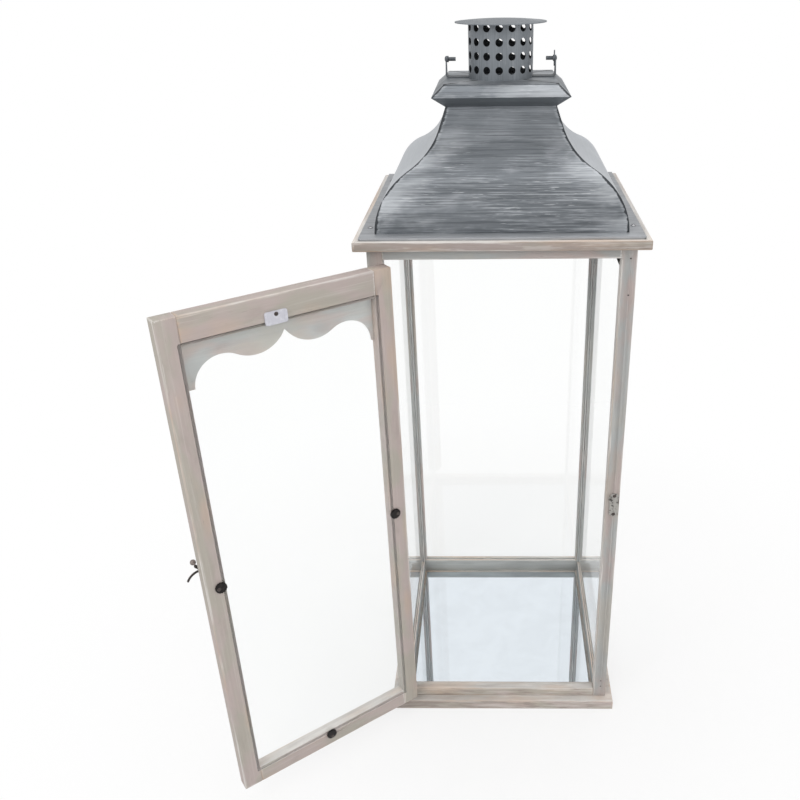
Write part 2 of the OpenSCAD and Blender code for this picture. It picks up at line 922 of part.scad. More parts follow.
// The left nut rests with its wings level and the right one with a wing upright
module handle_wing_nuts() {
    color(metal) {
        translate([ear_in, 0, bolt_z]) rotate([0, -90, 0]) wing_nut();
        translate([-ear_in, 0, bolt_z]) rotate([0, 90, 0]) rotate([0, 0, 90]) wing_nut();
    }
}

// ---- Hinges ----

// A knuckle of the barrel between two heights, with the solid root that joins it to its leaf
module knuckle(low, high, leaf_u) {
    translate([0, 0, low]) cylinder(r = barrel_r, h = high - low, $fn = round);
    block([leaf_u, 0, low], [leaf_u + leaf_t, leaf_clear + over, high]);
}

// A leaf whose inner face lies at leaf_u, cut back from the barrel
module leaf_sheet(leaf_u) {
    block([leaf_u, leaf_clear, -hinge_h / 2], [leaf_u + leaf_t, leaf_w, hinge_h / 2]);
}

module hinge_bore(r) {
    translate([0, 0, -hinge_h]) cylinder(r = r, h = 2 * hinge_h, $fn = round);
}

// The leaf on the post carries the two outer knuckles, and the pin is fixed in them
module frame_leaf(z) {
    leaf_u = -hinge_u;
    color(pale_metal) difference() {
        translate([hinge_x, hinge_y, z]) difference() {
            union() {
                leaf_sheet(leaf_u);
                knuckle(knuckle_h / 2 + knuckle_gap / 2, hinge_h / 2, leaf_u);
                knuckle(-hinge_h / 2, -knuckle_h / 2 - knuckle_gap / 2, leaf_u);
            }
            hinge_bore(pin_r);
        }
        at_frame_leaf_screws() screw_hole(screw_shank_r, leaf_screw_depth);
    }
}

module hinge_frame_leaf_upper() {
    frame_leaf(hinge_z_upper);
}

module hinge_frame_leaf_lower() {
    frame_leaf(hinge_z_lower);
}

module at_frame_leaf_screws() {
    for (z = [hinge_z_lower, hinge_z_upper], step = [-leaf_screw_z, leaf_screw_z]) {
        translate([-post_in + leaf_t, hinge_y + leaf_screw_w, z + step]) rotate([0, 90, 0]) children();
    }
}

module hinge_frame_screws() {
    color(metal) at_frame_leaf_screws() {
        screw(leaf_screw_head_r, leaf_screw_head_h, screw_shank_r, leaf_screw_depth);
    }
}

// Pins with a flat head at both ends
module hinge_pins() {
    color(metal) for (z = [hinge_z_lower, hinge_z_upper]) translate([hinge_x, hinge_y, z]) {
        translate([0, 0, -hinge_h / 2]) cylinder(r = pin_r, h = hinge_h, $fn = round);
        translate([0, 0, hinge_h / 2]) cylinder(r = pin_head_r, h = pin_head_h, $fn = round);
        translate([0, 0, -hinge_h / 2 - pin_head_h]) cylinder(r = pin_head_r, h = pin_head_h, $fn = round);
    }
}

// The leaf on the door carries the middle knuckle, which turns on the pin
module door_leaf(z) {
    leaf_u = u0 + mortise_d - leaf_t;
    half_knuckle = knuckle_h / 2 - knuckle_gap / 2;
    color(pale_metal) hang_door() difference() {
        translate([0, 0, z]) difference() {
            union() {
                leaf_sheet(leaf_u);
                knuckle(-half_knuckle, half_knuckle, leaf_u);
            }
            hinge_bore(pin_r + running_gap);
        }
        at_door_leaf_screws() screw_hole(screw_shank_r, leaf_screw_depth);
    }
}

module hinge_door_leaf_upper() {
    door_leaf(hinge_z_upper);
}

module hinge_door_leaf_lower() {
    door_leaf(hinge_z_lower);
}

module at_door_leaf_screws() {
    for (z = [hinge_z_lower, hinge_z_upper], step = [-leaf_screw_z, leaf_screw_z]) {
        translate([u0 + mortise_d - leaf_t, leaf_screw_w, z + step]) rotate([0, -90, 0]) children();
    }
}

module hinge_door_screws() {
    color(metal) hang_door() at_door_leaf_screws() {
        screw(leaf_screw_head_r, leaf_screw_head_h, screw_shank_r, leaf_screw_depth);
    }
}

// ---- Door frame ----

// The rabbet that takes the glass, as deep as the glass is thick
module glass_rabbet(shrink) {
    low = [rabbet_u0 + shrink, w_lip, rabbet_low + shrink];
    high = [rabbet_u1 - shrink, w1 + (shrink > 0 ? 0 : over), rabbet_top - shrink];
    block(low, high);
}

module door_hinge_stile() {
    mortise_w = leaf_w + mortise_play;
    mortise_half = hinge_h / 2 + mortise_play;
    color(wood) hang_door() difference() {
        block([u0, w0, door_low], [sight_u0, w1, door_high]);
        glass_rabbet(0);
        for (z = [hinge_z_lower, hinge_z_upper]) {
            block([u0 - over, w0 - over, z - mortise_half], [u0 + mortise_d, mortise_w, z + mortise_half]);
        }
        at_door_leaf_screws() screw_hole(screw_shank_r, leaf_screw_depth);
        at_holder_screws() screw_hole(screw_shank_r, holder_screw_depth);
    }
}

module door_free_stile() {
    color(wood) hang_door() difference() {
        block([sight_u1, w0, door_low], [u1, w1, door_high]);
        glass_rabbet(0);
        at_latch_screws() screw_hole(screw_shank_r, plate_screw_depth);
        at_holder_screws() screw_hole(screw_shank_r, holder_screw_depth);
    }
}

module door_top_rail() {
    color(wood) hang_door() difference() {
        block([sight_u0, w0, sight_high], [sight_u1, w1, door_high]);
        glass_rabbet(0);
        at_holder_screws() screw_hole(screw_shank_r, holder_screw_depth);
    }
}

module door_bottom_rail() {
    color(wood) hang_door() difference() {
        block([sight_u0, w0, door_low], [sight_u1, w1, sight_low]);
        glass_rabbet(0);
        at_holder_screws() screw_hole(screw_shank_r, holder_screw_depth);
    }
}

module door_glass() {
    color(pane, 0.4) hang_door() glass_rabbet(door_glass_play);
}

// The open area under the valance: two arches and the space under the two lobes between them
module valance_cut() {
    for (side = [-1, 1]) {
        translate([side * arch_x, arch_z]) circle(arch_r, $fn = fine);
    }
    difference() {
        polygon([
            [-arch_x, arch_z - over], [-arch_x, arch_z], [-touch_x, touch_z], [0, cusp_z],
            [touch_x, touch_z], [arch_x, arch_z], [arch_x, arch_z - over]
        ]);
        for (side = [-1, 1]) {
            translate([side * lobe_x, lobe_z]) circle(lobe_r, $fn = fine);
        }
    }
}

module door_valance() {
    left = sight_u0 - valance_mid;
    color(wood) hang_door() translate([valance_mid, w0 + valance_t, 0]) rotate([90, 0, 0]) {
        linear_extrude(valance_t) difference() {
            translate([left, arch_z]) square([sight_u1 - sight_u0, sight_high - arch_z]);
            valance_cut();
        }
    }
}

// ---- Glass holders ----

// Puts the children on the inner face of the door, with the wood towards their +X
module at_buttons() {
    for (place = button_places) {
        translate([place[0], w1, place[1]]) rotate([-90, 0, 0]) rotate([0, 0, place[2]]) children();
    }
}

module at_holder_screws() {
    at_buttons() translate([button_screw_set, 0, 0]) children();
    translate([clip_u, w1, clip_screw_z]) rotate([-90, 0, 0]) children();
}

module glass_buttons() {
    color(dark_metal) hang_door() at_buttons() difference() {
        cylinder(r = button_r, h = button_h, $fn = round);
        translate([button_screw_set, 0, -over]) {
            cylinder(r = screw_shank_r + screw_gap, h = button_h + 2 * over, $fn = round);
        }
        for (k = [1 : button_flutes]) rotate([0, 0, k * 360 / button_flutes]) {
            translate([button_r, 0, -over]) {
                cylinder(r = button_flute_r, h = button_h + 2 * over, $fn = round);
            }
        }
    }
}

// A flat plate with rounded corners, centred on the origin
module round_plate(w, h, r) {
    square([w - 2 * r, h], center = true);
    square([w, h - 2 * r], center = true);
    for (x = [-1, 1], z = [-1, 1]) {
        translate([x * (w / 2 - r), z * (h / 2 - r)]) circle(r, $fn = round);
    }
}

module glass_clip() {
    color(pale_metal) hang_door() translate([clip_u, w1 + clip_t, clip_z]) rotate([90, 0, 0]) {
        linear_extrude(clip_t) difference() {
            round_plate(clip_w, clip_h, clip_round);
            translate([0, clip_screw_z - clip_z]) circle(screw_shank_r + screw_gap, $fn = round);
        }
    }
}

module glass_holder_screws() {
    button_depth = button_h + holder_screw_depth;
    clip_depth = clip_t + holder_screw_depth;
    color(metal) hang_door() {
        at_buttons() translate([button_screw_set, 0, button_h]) {
            screw(screw_head_r, screw_head_h, screw_shank_r, button_depth);
        }
        translate([clip_u, w1 + clip_t, clip_screw_z]) rotate([-90, 0, 0]) {
            screw(screw_head_r, screw_head_h, screw_shank_r, clip_depth);
        }
    }
}

// ---- Latch and keeper ----

// Puts the children on the outer face of the closed door, facing outwards
module on_door_face(u, z) {
    translate([u, w0, z]) rotate([90, 0, 0]) children();
}

// A plate with a screw hole near each end
module screw_plate() {
    linear_extrude(plate_t) difference() {
        round_plate(plate_w, plate_h, plate_round);
        for (z = [-plate_screw_z, plate_screw_z]) {
            translate([0, z]) circle(screw_shank_r + screw_gap, $fn = round);
        }
    }
}

module at_latch_screws() {
    for (z = [-plate_screw_z, plate_screw_z]) on_door_face(latch_u, latch_z + z) children();
}

// The plate with the boss and the rivet that the hook turns on
module latch_plate() {
    hook_top = hook_lift + hook_t + running_gap;
    color(dark_metal) hang_door() {
        on_door_face(latch_u, latch_z) screw_plate();
        on_door_face(latch_u, pivot_z) {
            cylinder(r = pivot_boss_r, h = hook_lift - running_gap, $fn = round);
            cylinder(r = pivot_r, h = hook_top, $fn = round);
            translate([0, 0, hook_top]) cylinder(r = pivot_head_r, h = pivot_head_h, $fn = round);
        }
    }
}

module latch_plate_screws() {
    color(metal) hang_door() at_latch_screws() translate([0, 0, plate_t]) {
        screw(screw_head_r, screw_head_h, screw_shank_r, plate_screw_depth);
    }
}

// The curved finger of the hook: part of a ring, rounded at its tip
module hook_finger() {
    reach = 2 * hook_r;
    translate([hook_centre_u, hook_centre_z]) {
        intersection() {
            difference() {
                circle(hook_r + hook_w / 2, $fn = fine);
                circle(hook_r - hook_w / 2, $fn = fine);
            }
            polygon([
                [0, 0], [reach * cos(hook_tip_a), reach * sin(hook_tip_a)], [reach, 2 * reach],
                [reach * cos(hook_start_a), 2 * reach],
                [reach * cos(hook_start_a), reach * sin(hook_start_a)]
            ]);
        }
        translate([hook_r * cos(hook_tip_a), hook_r * sin(hook_tip_a)]) circle(hook_w / 2, $fn = round);
    }
}

module latch_hook() {
    color(dark_metal) hang_door() on_door_face(latch_u, pivot_z) {
        translate([0, 0, hook_lift]) linear_extrude(hook_t) difference() {
            union() {
                hook_finger();
                circle(pivot_boss_r, $fn = round);
                rotate([0, 0, knob_a]) translate([0, -knob_bar_w / 2]) square([knob_arm, knob_bar_w]);
                rotate([0, 0, knob_a]) translate([knob_arm, 0]) circle(knob_pad_r, $fn = round);
            }
            circle(pivot_r + running_gap, $fn = round);
        }
    }
}

module latch_knob() {
    color(dark_metal) hang_door() on_door_face(latch_u, pivot_z) rotate([0, 0, knob_a]) {
        translate([knob_arm, 0, hook_lift + hook_t]) {
            cylinder(r = knob_stem_r, h = knob_stem_h, $fn = round);
            translate([0, 0, knob_stem_h + knob_r * 0.8]) sphere(knob_r, $fn = fine);
        }
    }
}

module on_post_face(x, z) {
    translate([x, -body, z]) rotate([90, 0, 0]) children();
}

module at_keeper_screws() {
    for (z = [-plate_screw_z, plate_screw_z]) on_post_face(keeper_x, keeper_z + z) children();
}

// The plate with the headed stud that the hook drops over
module keeper_plate() {
    color(dark_metal) {
        on_post_face(keeper_x, keeper_z) screw_plate();
        on_post_face(hinge_x + stud_u, stud_z) {
            cylinder(r = stud_boss_r, h = stud_boss_h, $fn = round);
            cylinder(r = stud_r, h = stud_reach, $fn = round);
            translate([0, 0, stud_reach - stud_head_h]) {
                cylinder(r = stud_head_r, h = stud_head_h, $fn = round);
            }
        }
    }
}

module keeper_screws() {
    color(metal) at_keeper_screws() translate([0, 0, plate_t]) {
        screw(screw_head_r, screw_head_h, screw_shank_r, plate_screw_depth);
    }
}

base_board();
door_sill();
bottom_rail_back();
bottom_rail_left();
bottom_rail_right();
post_front_left();
post_front_right();
post_back_left();
post_back_right();
top_rail_front();
top_rail_back();
top_rail_left();
top_rail_right();
top_board_front();
top_board_back();
top_board_left();
top_board_right();
floor_mirror();
glass_left();
glass_right();
glass_back();
glazing_beads();
door_stop();
brad_nails();
roof_flange();
roof_screws();
roof_panel_front();
roof_panel_back();
roof_panel_left();
roof_panel_right();
coronet();
crown_plate();
chimney_tube();
chimney_cap();
handle_strap();
handle_bolt_left();
handle_bolt_right();
handle_wing_nuts();
hinge_frame_leaf_upper();
hinge_frame_leaf_lower();
hinge_pins();
hinge_frame_screws();
keeper_plate();
keeper_screws();
door_hinge_stile();
door_free_stile();
door_top_rail();
door_bottom_rail();
door_valance();
door_glass();
glass_buttons();
glass_clip();
glass_holder_screws();
hinge_door_leaf_upper();
hinge_door_leaf_lower();
hinge_door_screws();
latch_plate();
latch_plate_screws();
latch_hook();
latch_knob();
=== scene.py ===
"""Looks of a tall square lantern: whitewashed wood, glass, a mirror floor and a sheet metal roof.

Metres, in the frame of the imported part: X to the right, Y to the back, Z up, door side facing -Y.
"""

import math
import random

import bmesh
import bpy
from mathutils import Matrix, Vector


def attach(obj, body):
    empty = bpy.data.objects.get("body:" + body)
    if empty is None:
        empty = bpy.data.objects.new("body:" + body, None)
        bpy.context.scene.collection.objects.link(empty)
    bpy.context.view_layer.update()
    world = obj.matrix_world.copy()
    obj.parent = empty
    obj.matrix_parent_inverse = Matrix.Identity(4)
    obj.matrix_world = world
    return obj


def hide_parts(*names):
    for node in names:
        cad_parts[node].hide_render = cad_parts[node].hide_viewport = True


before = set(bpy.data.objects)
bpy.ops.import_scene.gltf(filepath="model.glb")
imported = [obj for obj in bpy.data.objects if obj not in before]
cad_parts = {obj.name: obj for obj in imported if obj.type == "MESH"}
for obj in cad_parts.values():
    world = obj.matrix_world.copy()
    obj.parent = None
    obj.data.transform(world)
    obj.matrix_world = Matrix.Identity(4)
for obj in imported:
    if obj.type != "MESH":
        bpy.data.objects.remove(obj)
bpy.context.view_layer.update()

bl_info = {
    "name": "Ogee Roof Lantern",
    "version": (1, 0, 0),
    "blender": (4, 5, 0),
    "location": "View3D > Sidebar > Lantern",
    "description": "Builds the visible pieces of a tall glazed lantern",
    "category": "Object",
}

MM = 0.001
BODY = "lantern_body"
DOOR = "door"
HOOK = "hook"
DOOR_ANGLE = math.radians(-143.0)
DOOR_ALONG = Vector((math.cos(DOOR_ANGLE), math.sin(DOOR_ANGLE), 0.0))
DOOR_INTO = Vector((-math.sin(DOOR_ANGLE), math.cos(DOOR_ANGLE), 0.0))
AXIS_X = Vector((1.0, 0.0, 0.0))
AXIS_Y = Vector((0.0, 1.0, 0.0))
AXIS_Z = Vector((0.0, 0.0, 1.0))


# ------------ properties


def colour_setting(name, description, default):
    """A colour that the panel shows."""
    return bpy.props.FloatVectorProperty(
        name=name,
        description=description,
        subtype="COLOR",
        size=3,
        min=0.0,
        max=1.0,
        default=default,
    )


def number_setting(name, description, low, high, default, **kind):
    """A number that the panel shows."""
    return bpy.props.FloatProperty(
        name=name, description=description, min=low, max=high, default=default, **kind
    )


class LanternWood(bpy.types.PropertyGroup):
    """Colours and edges of the whitewashed wood"""

    wash: colour_setting("Wash", "Pinkish colour of the thin whitewash", (0.520, 0.440, 0.415))
    tint: colour_setting(
        "Second wash", "Sandy grey that the wash turns to in patches", (0.465, 0.430, 0.375)
    )
    # The inner wash is the wood's own grey. On the inside faces, the beads and the valance it also
    # stands for a painted grey-green cast of the glass.
    cool: colour_setting(
        "Inner wash", "Grey colour of the wood inside and at the back", (0.440, 0.452, 0.445)
    )
    shade: colour_setting("Shade", "Colour of the darker streaks", (0.325, 0.275, 0.245))
    bare: colour_setting(
        "Bare wood", "Warm colour of the bare wood at worn spots", (0.575, 0.440, 0.345)
    )
    chalk: colour_setting(
        "Chalk", "Colour of the thickest paint, on edges and brush marks", (0.74, 0.71, 0.675)
    )
    edge: number_setting(
        "Edge round", "Radius of the rounded long edges", 0.0002, 0.003, 0.0009, unit="LENGTH"
    )


class LanternMetal(bpy.types.PropertyGroup):
    """Colours of the sheet metal and the hardware"""

    sheet: colour_setting("Sheet", "Base colour of the brushed sheet metal", (0.165, 0.180, 0.196))
    streak: colour_setting("Streak", "Colour of the light brushed streaks", (0.50, 0.52, 0.545))
    pale: colour_setting("Pale sheet", "Base colour of the paler flange", (0.33, 0.34, 0.355))
    dark: colour_setting(
        "Dark hardware", "Colour of the dark brown latch and screws", (0.045, 0.036, 0.033)
    )
    steel: colour_setting(
        "Steel", "Colour of the plain steel screws and hinges", (0.36, 0.36, 0.37)
    )


class LanternGlass(bpy.types.PropertyGroup):
    """Colours of the panes and the mirror"""

    tint: colour_setting(
        "Glass tint", "Faint green tint of the window glass", (0.990, 0.997, 0.994)
    )
    mirror: colour_setting("Mirror tint", "Faint blue tint of the mirror floor", (0.80, 0.85, 0.90))


class LanternScrews(bpy.types.PropertyGroup):
    """Shape of the screw heads"""

    slot_share: number_setting(
        "Recess",
        "Width of the cross recess as a share of the head radius",
        0.1,
        0.6,
        0.30,
        subtype="FACTOR",
    )


class LanternStage(bpy.types.PropertyGroup):
    """Camera and light of the picture"""

    focal: number_setting(
        "Focal length", "Focal length for a 36 mm wide sensor", 20.0, 100.0, 38.588, unit="CAMERA"
    )
    world: number_setting(
        "Sky", "Strength of the plain white surroundings", 0.0, 2.0, 0.62, subtype="FACTOR"
    )
    key: number_setting(
        "Key lamp", "Power of the large lamp in front", 0.0, 500.0, 26.0, unit="POWER"
    )


# ------------ node helpers


def link(tree, source, target):
    tree.links.new(source, target)


def feed(tree, node, feeds):
    """Links a node's inputs, by name or number, to sockets or sets them to values."""
    for key, value in feeds.items():
        if isinstance(value, bpy.types.NodeSocket):
            link(tree, value, node.inputs[key])
        else:
            node.inputs[key].default_value = value


def add(tree, kind, feeds=None, **settings):
    """A new node with its settings made and its inputs fed."""
    made = tree.nodes.new(kind)
    for key, value in settings.items():
        setattr(made, key, value)
    feed(tree, made, feeds or {})
    return made


def calc(tree, operation, a, b=None, clamp=False):
    """A maths node; a and b are sockets or numbers."""
    feeds = {0: a} if b is None else {0: a, 1: b}
    made = add(tree, "ShaderNodeMath", feeds, operation=operation, use_clamp=clamp)
    return made.outputs[0]


def times(tree, a, b):
    return calc(tree, "MULTIPLY", a, b)


def plus(tree, a, b, clamp=False):
    return calc(tree, "ADD", a, b, clamp)


def minus(tree, a, b, clamp=False):
    return calc(tree, "SUBTRACT", a, b, clamp)


def vector_calc(tree, operation, *values, output=0):
    """A vector maths node; values are sockets or vectors."""
    feeds = dict(enumerate(values))
    return add(tree, "ShaderNodeVectorMath", feeds, operation=operation).outputs[output]


def split(tree, vector):
    """The X, Y and Z outputs of a vector."""
    return add(tree, "ShaderNodeSeparateXYZ", {0: vector}).outputs


def joined(tree, feeds):
    """A vector from its fed parts."""
    return add(tree, "ShaderNodeCombineXYZ", feeds).outputs[0]


def shifted(tree, vector, seed, factors):
    """vector moved by the seed times factors, so that like pieces don't look the same."""
    shift = {axis: times(tree, seed, factor) for axis, factor in enumerate(factors)}
    return vector_calc(tree, "ADD", vector, joined(tree, shift))


def noise(tree, vector, cycles, detail, rough, warp=0.0):
    """Noise value from vector, at so many cycles per metre along each of its axes."""
    feeds = {
        "Vector": vector_calc(tree, "MULTIPLY", vector, cycles),
        "Scale": 1.0,
        "Detail": detail,
        "Roughness": rough,
        "Distortion": warp,
    }
    return add(tree, "ShaderNodeTexNoise", feeds, noise_dimensions="3D").outputs["Fac"]


def band(tree, value, low, high, least=0.0, most=1.0):
    """least below low, most above high and smooth between; high below low turns it round."""
    feeds = {
        "Value": value,
        "From Min": min(low, high),
        "From Max": max(low, high),
        "To Min": least if low < high else most,
        "To Max": most if low < high else least,
    }
    made = add(tree, "ShaderNodeMapRange", feeds, interpolation_type="SMOOTHSTEP")
    return made.outputs["Result"]


def mix(tree, factor, a, b):
    """Colour mix; a and b are sockets or colours."""
    feeds = {0: factor, 6: a, 7: b}
    return add(tree, "ShaderNodeMix", feeds, data_type="RGBA", clamp_factor=True).outputs[2]


def layer(tree, colour, mask, low, high, share, over):
    """Lays over on colour where mask passes from low to high, at most at share."""
    return mix(tree, times(tree, band(tree, mask, low, high), share), colour, over)


def rgba(colour, factor=1.0):
    return (colour[0] * factor, colour[1] * factor, colour[2] * factor, 1.0)


# ------------ shader groups

FLOAT = "NodeSocketFloat"
COLOUR = "NodeSocketColor"
VECTOR = "NodeSocketVector"
WHITE = (1.0, 1.0, 1.0, 1.0)
GREY = (0.5, 0.5, 0.5, 1.0)


def open_group(name, kind, inputs, outputs):
    """An empty node group, its inputs' sockets and its output node, from its interface."""
    group = bpy.data.node_groups.new(name, kind)
    for label, socket_type, default in inputs:
        socket = group.interface.new_socket(label, in_out="INPUT", socket_type=socket_type)
        if default is not None:
            socket.default_value = default
    for label, socket_type in outputs:
        group.interface.new_socket(label, in_out="OUTPUT", socket_type=socket_type)
    start = add(group, "NodeGroupInput")
    return group, start.outputs, add(group, "NodeGroupOutput")


def open_effect(name, vectors, colours, floats):
    """An empty shader group that gives a surface its colour, roughness and height."""
    inputs = [(label, VECTOR, None) for label in vectors]
    inputs += [(label, COLOUR, GREY) for label in colours]
    inputs += [(label, FLOAT, default) for label, default in floats.items()]
    outputs = (("Color", COLOUR), ("Roughness", FLOAT), ("Height", FLOAT))
    return open_group(name, "ShaderNodeTree", inputs, outputs)


# Each noise has its cycles per metre, along the grain first, its detail, roughness and warp.
WOOD_NOISES = {
    "fine": ((7.0, 420.0, 420.0), 5.0, 0.6, 0.25),
    "broad": ((3.5, 110.0, 110.0), 4.0, 0.55, 0.5),
    "blotch": ((13.0, 34.0, 34.0), 3.0, 0.5, 0.3),
    "cloud": ((16.0, 42.0, 42.0), 5.0, 0.6, 0.2),
    "glow": ((8.0, 21.0, 21.0), 3.0, 0.5, 0.2),
    "marks": ((26.0, 230.0, 230.0), 3.0, 0.6, 0.3),
    "pores": ((55.0, 1500.0, 1500.0), 2.0, 0.5),
    "brush": ((12.0, 700.0, 700.0), 3.0, 0.6),
}
KNOT_CYCLES = (7.0, 30.0, 30.0)
WOOD_SHIFT = (3.71, 1.93, 2.57)
PORE_BROWN = (0.12, 0.095, 0.08, 1.0)


def to_nearest_edge(tree, grain, half):
    """How far a point on a bar's surface lies from the nearest edge of the bar."""
    room = vector_calc(tree, "SUBTRACT", half, vector_calc(tree, "ABSOLUTE", grain))
    a, b, c = split(tree, room)
    low = calc(tree, "MINIMUM", a, b)
    high = calc(tree, "MAXIMUM", a, b)
    return calc(tree, "MAXIMUM", low, calc(tree, "MINIMUM", high, c))


def wood_group(name):
    """Whitewashed softwood: blotches, streaks along the grain, knots, pores and worn edges."""
    tree, given, result = open_effect(
        name,
        ("Grain", "Half"),
        ("Wash", "Second Wash", "Shade", "Bare", "Chalk"),
        {"Seed": 0.0, "Streaks": 1.0, "Wear": 2.4 * MM},
    )
    place = shifted(tree, given["Grain"], given["Seed"], WOOD_SHIFT)
    fine, broad, blotch, cloud, glow, marks, pores, brush = (
        noise(tree, place, *row) for row in WOOD_NOISES.values()
    )
    streaks, wear = given["Streaks"], given["Wear"]
    shade, bare, chalk = given["Shade"], given["Bare"], given["Chalk"]
    colour = mix(tree, band(tree, blotch, 0.40, 0.60), given["Wash"], given["Second Wash"])
    colour = layer(tree, colour, glow, 0.50, 0.68, 0.60, bare)
    colour = layer(tree, colour, cloud, 0.46, 0.28, 0.30, shade)
    colour = layer(tree, colour, broad, 0.46, 0.64, times(tree, streaks, 0.75), shade)
    knots = {"Vector": vector_calc(tree, "MULTIPLY", place, KNOT_CYCLES), "Scale": 1.0}
    knot = add(tree, "ShaderNodeTexVoronoi", knots, feature="F1", distance="EUCLIDEAN")
    colour = layer(tree, colour, knot.outputs["Distance"], 0.26, 0.05, 0.45, bare)
    pale_share = plus(tree, times(tree, streaks, 0.55), 0.12)
    dark_share = plus(tree, times(tree, streaks, 0.50), 0.10)
    colour = layer(tree, colour, fine, 0.55, 0.68, pale_share, chalk)
    colour = layer(tree, colour, fine, 0.44, 0.30, dark_share, shade)
    colour = layer(tree, colour, marks, 0.47, 0.36, times(tree, streaks, 0.24), chalk)
    colour = layer(tree, colour, marks, 0.51, 0.62, times(tree, streaks, 0.62), shade)
    pore_mask = times(tree, band(tree, pores, 0.68, 0.78), 0.45)
    colour = mix(tree, pore_mask, colour, PORE_BROWN)
    wobble = times(tree, minus(tree, cloud, 0.5), times(tree, wear, 3.0))
    to_edge = plus(tree, to_nearest_edge(tree, given["Grain"], given["Half"]), wobble)
    edge = band(tree, calc(tree, "DIVIDE", to_edge, wear), 1.0, 0.3)
    edge = times(tree, edge, band(tree, brush, 0.30, 0.60))
    worn = mix(tree, band(tree, glow, 0.40, 0.56), chalk, bare)
    rough = plus(tree, times(tree, fine, 0.25), 0.50)
    height = plus(tree, times(tree, fine, 0.6), times(tree, brush, 0.4))
    feeds = {
        "Color": mix(tree, times(tree, edge, 0.75), colour, worn),
        "Roughness": plus(tree, rough, times(tree, pore_mask, 0.2), True),
        "Height": minus(tree, height, pore_mask),
    }
    feed(tree, result, feeds)
    return tree


SHEET_NOISES = {
    "lines": ((15.0, 520.0, 520.0), 3.0, 0.6),
    "thin": ((24.0, 980.0, 980.0), 3.0, 0.6),
    "dashes": ((42.0, 760.0, 760.0), 2.0, 0.5),
    "patch": ((11.0, 30.0, 30.0), 4.0, 0.6, 0.4),
    "cloud": ((9.0, 19.0, 19.0), 4.0, 0.6, 0.3),
    "grain": ((900.0, 900.0, 900.0), 2.0, 0.6),
    "stain": ((34.0, 60.0, 60.0), 5.0, 0.65, 0.6),
}
SHEET_SHIFT = (2.31, 5.17, 1.47)
BRUSHED_DARK = (0.065, 0.072, 0.08, 1.0)
SCRATCH_WHITE = (0.66, 0.68, 0.70, 1.0)
STAIN_GREY = (0.10, 0.115, 0.125, 1.0)
SEAM_BLACK = (0.045, 0.05, 0.056, 1.0)
# The roof's streaks fade out between these heights, so its upper part is darker.
FADE_FROM, FADE_TO = 0.790, 0.850


def sheet_group(name):
    """Brushed and dulled sheet metal: light streaks in patches, stains, and at the roof's hips dark
    seams with a painted highlight beside them.
    """
    tree, given, result = open_effect(
        name,
        ("Brush", "Place"),
        ("Sheet", "Streak"),
        {"Seed": 0.0, "Amount": 1.0, "Seams": 0.0, "Fade": 0.0},
    )
    place = shifted(tree, given["Brush"], given["Seed"], SHEET_SHIFT)
    lines, thin, dashes, patch, cloud, grain, stain = (
        noise(tree, place, *row) for row in SHEET_NOISES.values()
    )
    streak, amount, seams = given["Streak"], given["Amount"], given["Seams"]
    sides = split(tree, vector_calc(tree, "ABSOLUTE", given["Place"]))
    faded = times(tree, band(tree, sides["Z"], FADE_FROM, FADE_TO), given["Fade"])
    worn = minus(tree, 1.0, faded)
    shown = times(tree, band(tree, patch, 0.36, 0.60), times(tree, amount, worn))
    colour = layer(tree, given["Sheet"], cloud, 0.50, 0.72, times(tree, worn, 0.55), streak)
    colour = layer(tree, colour, lines, 0.49, 0.38, times(tree, amount, 0.46), BRUSHED_DARK)
    colour = layer(tree, colour, lines, 0.54, 0.62, times(tree, shown, 0.46), streak)
    colour = layer(tree, colour, thin, 0.56, 0.63, times(tree, shown, 0.5), streak)
    colour = layer(tree, colour, dashes, 0.66, 0.72, times(tree, shown, 0.8), SCRATCH_WHITE)
    spots = times(tree, band(tree, stain, 0.66, 0.76), 0.35)
    colour = mix(tree, spots, colour, STAIN_GREY)
    off_hip = calc(tree, "ABSOLUTE", minus(tree, sides["X"], sides["Y"]))
    # Painted highlight: a light line beside each hip seam.
    beside = times(tree, band(tree, dashes, 0.40, 0.60), times(tree, seams, 0.5))
    colour = layer(tree, colour, off_hip, 7.0 * MM, 3.0 * MM, beside, streak)
    # Paler patches near the hips, fading out towards the top.
    rubbed = times(tree, band(tree, patch, 0.42, 0.60), times(tree, worn, seams))
    rubbed = times(tree, rubbed, 0.52)
    colour = layer(tree, colour, off_hip, 50.0 * MM, 8.0 * MM, rubbed, streak)
    ragged = plus(tree, off_hip, times(tree, minus(tree, stain, 0.5), 12.0 * MM))
    rough = plus(tree, times(tree, patch, 0.22), 0.30)
    rough = plus(tree, rough, times(tree, grain, 0.10))
    feeds = {
        "Color": layer(tree, colour, ragged, 3.2 * MM, 1.6 * MM, seams, SEAM_BLACK),
        "Roughness": plus(tree, rough, times(tree, spots, 0.25), True),
        "Height": plus(tree, times(tree, lines, 0.7), times(tree, thin, 0.3)),
    }
    feed(tree, result, feeds)
    return tree


GRAIN_NOISE = ((1600.0, 1600.0, 1600.0), 3.0, 0.6)
CLOUD_NOISE = ((260.0, 260.0, 260.0), 4.0, 0.6)
GRIME = (0.02, 0.02, 0.02, 1.0)


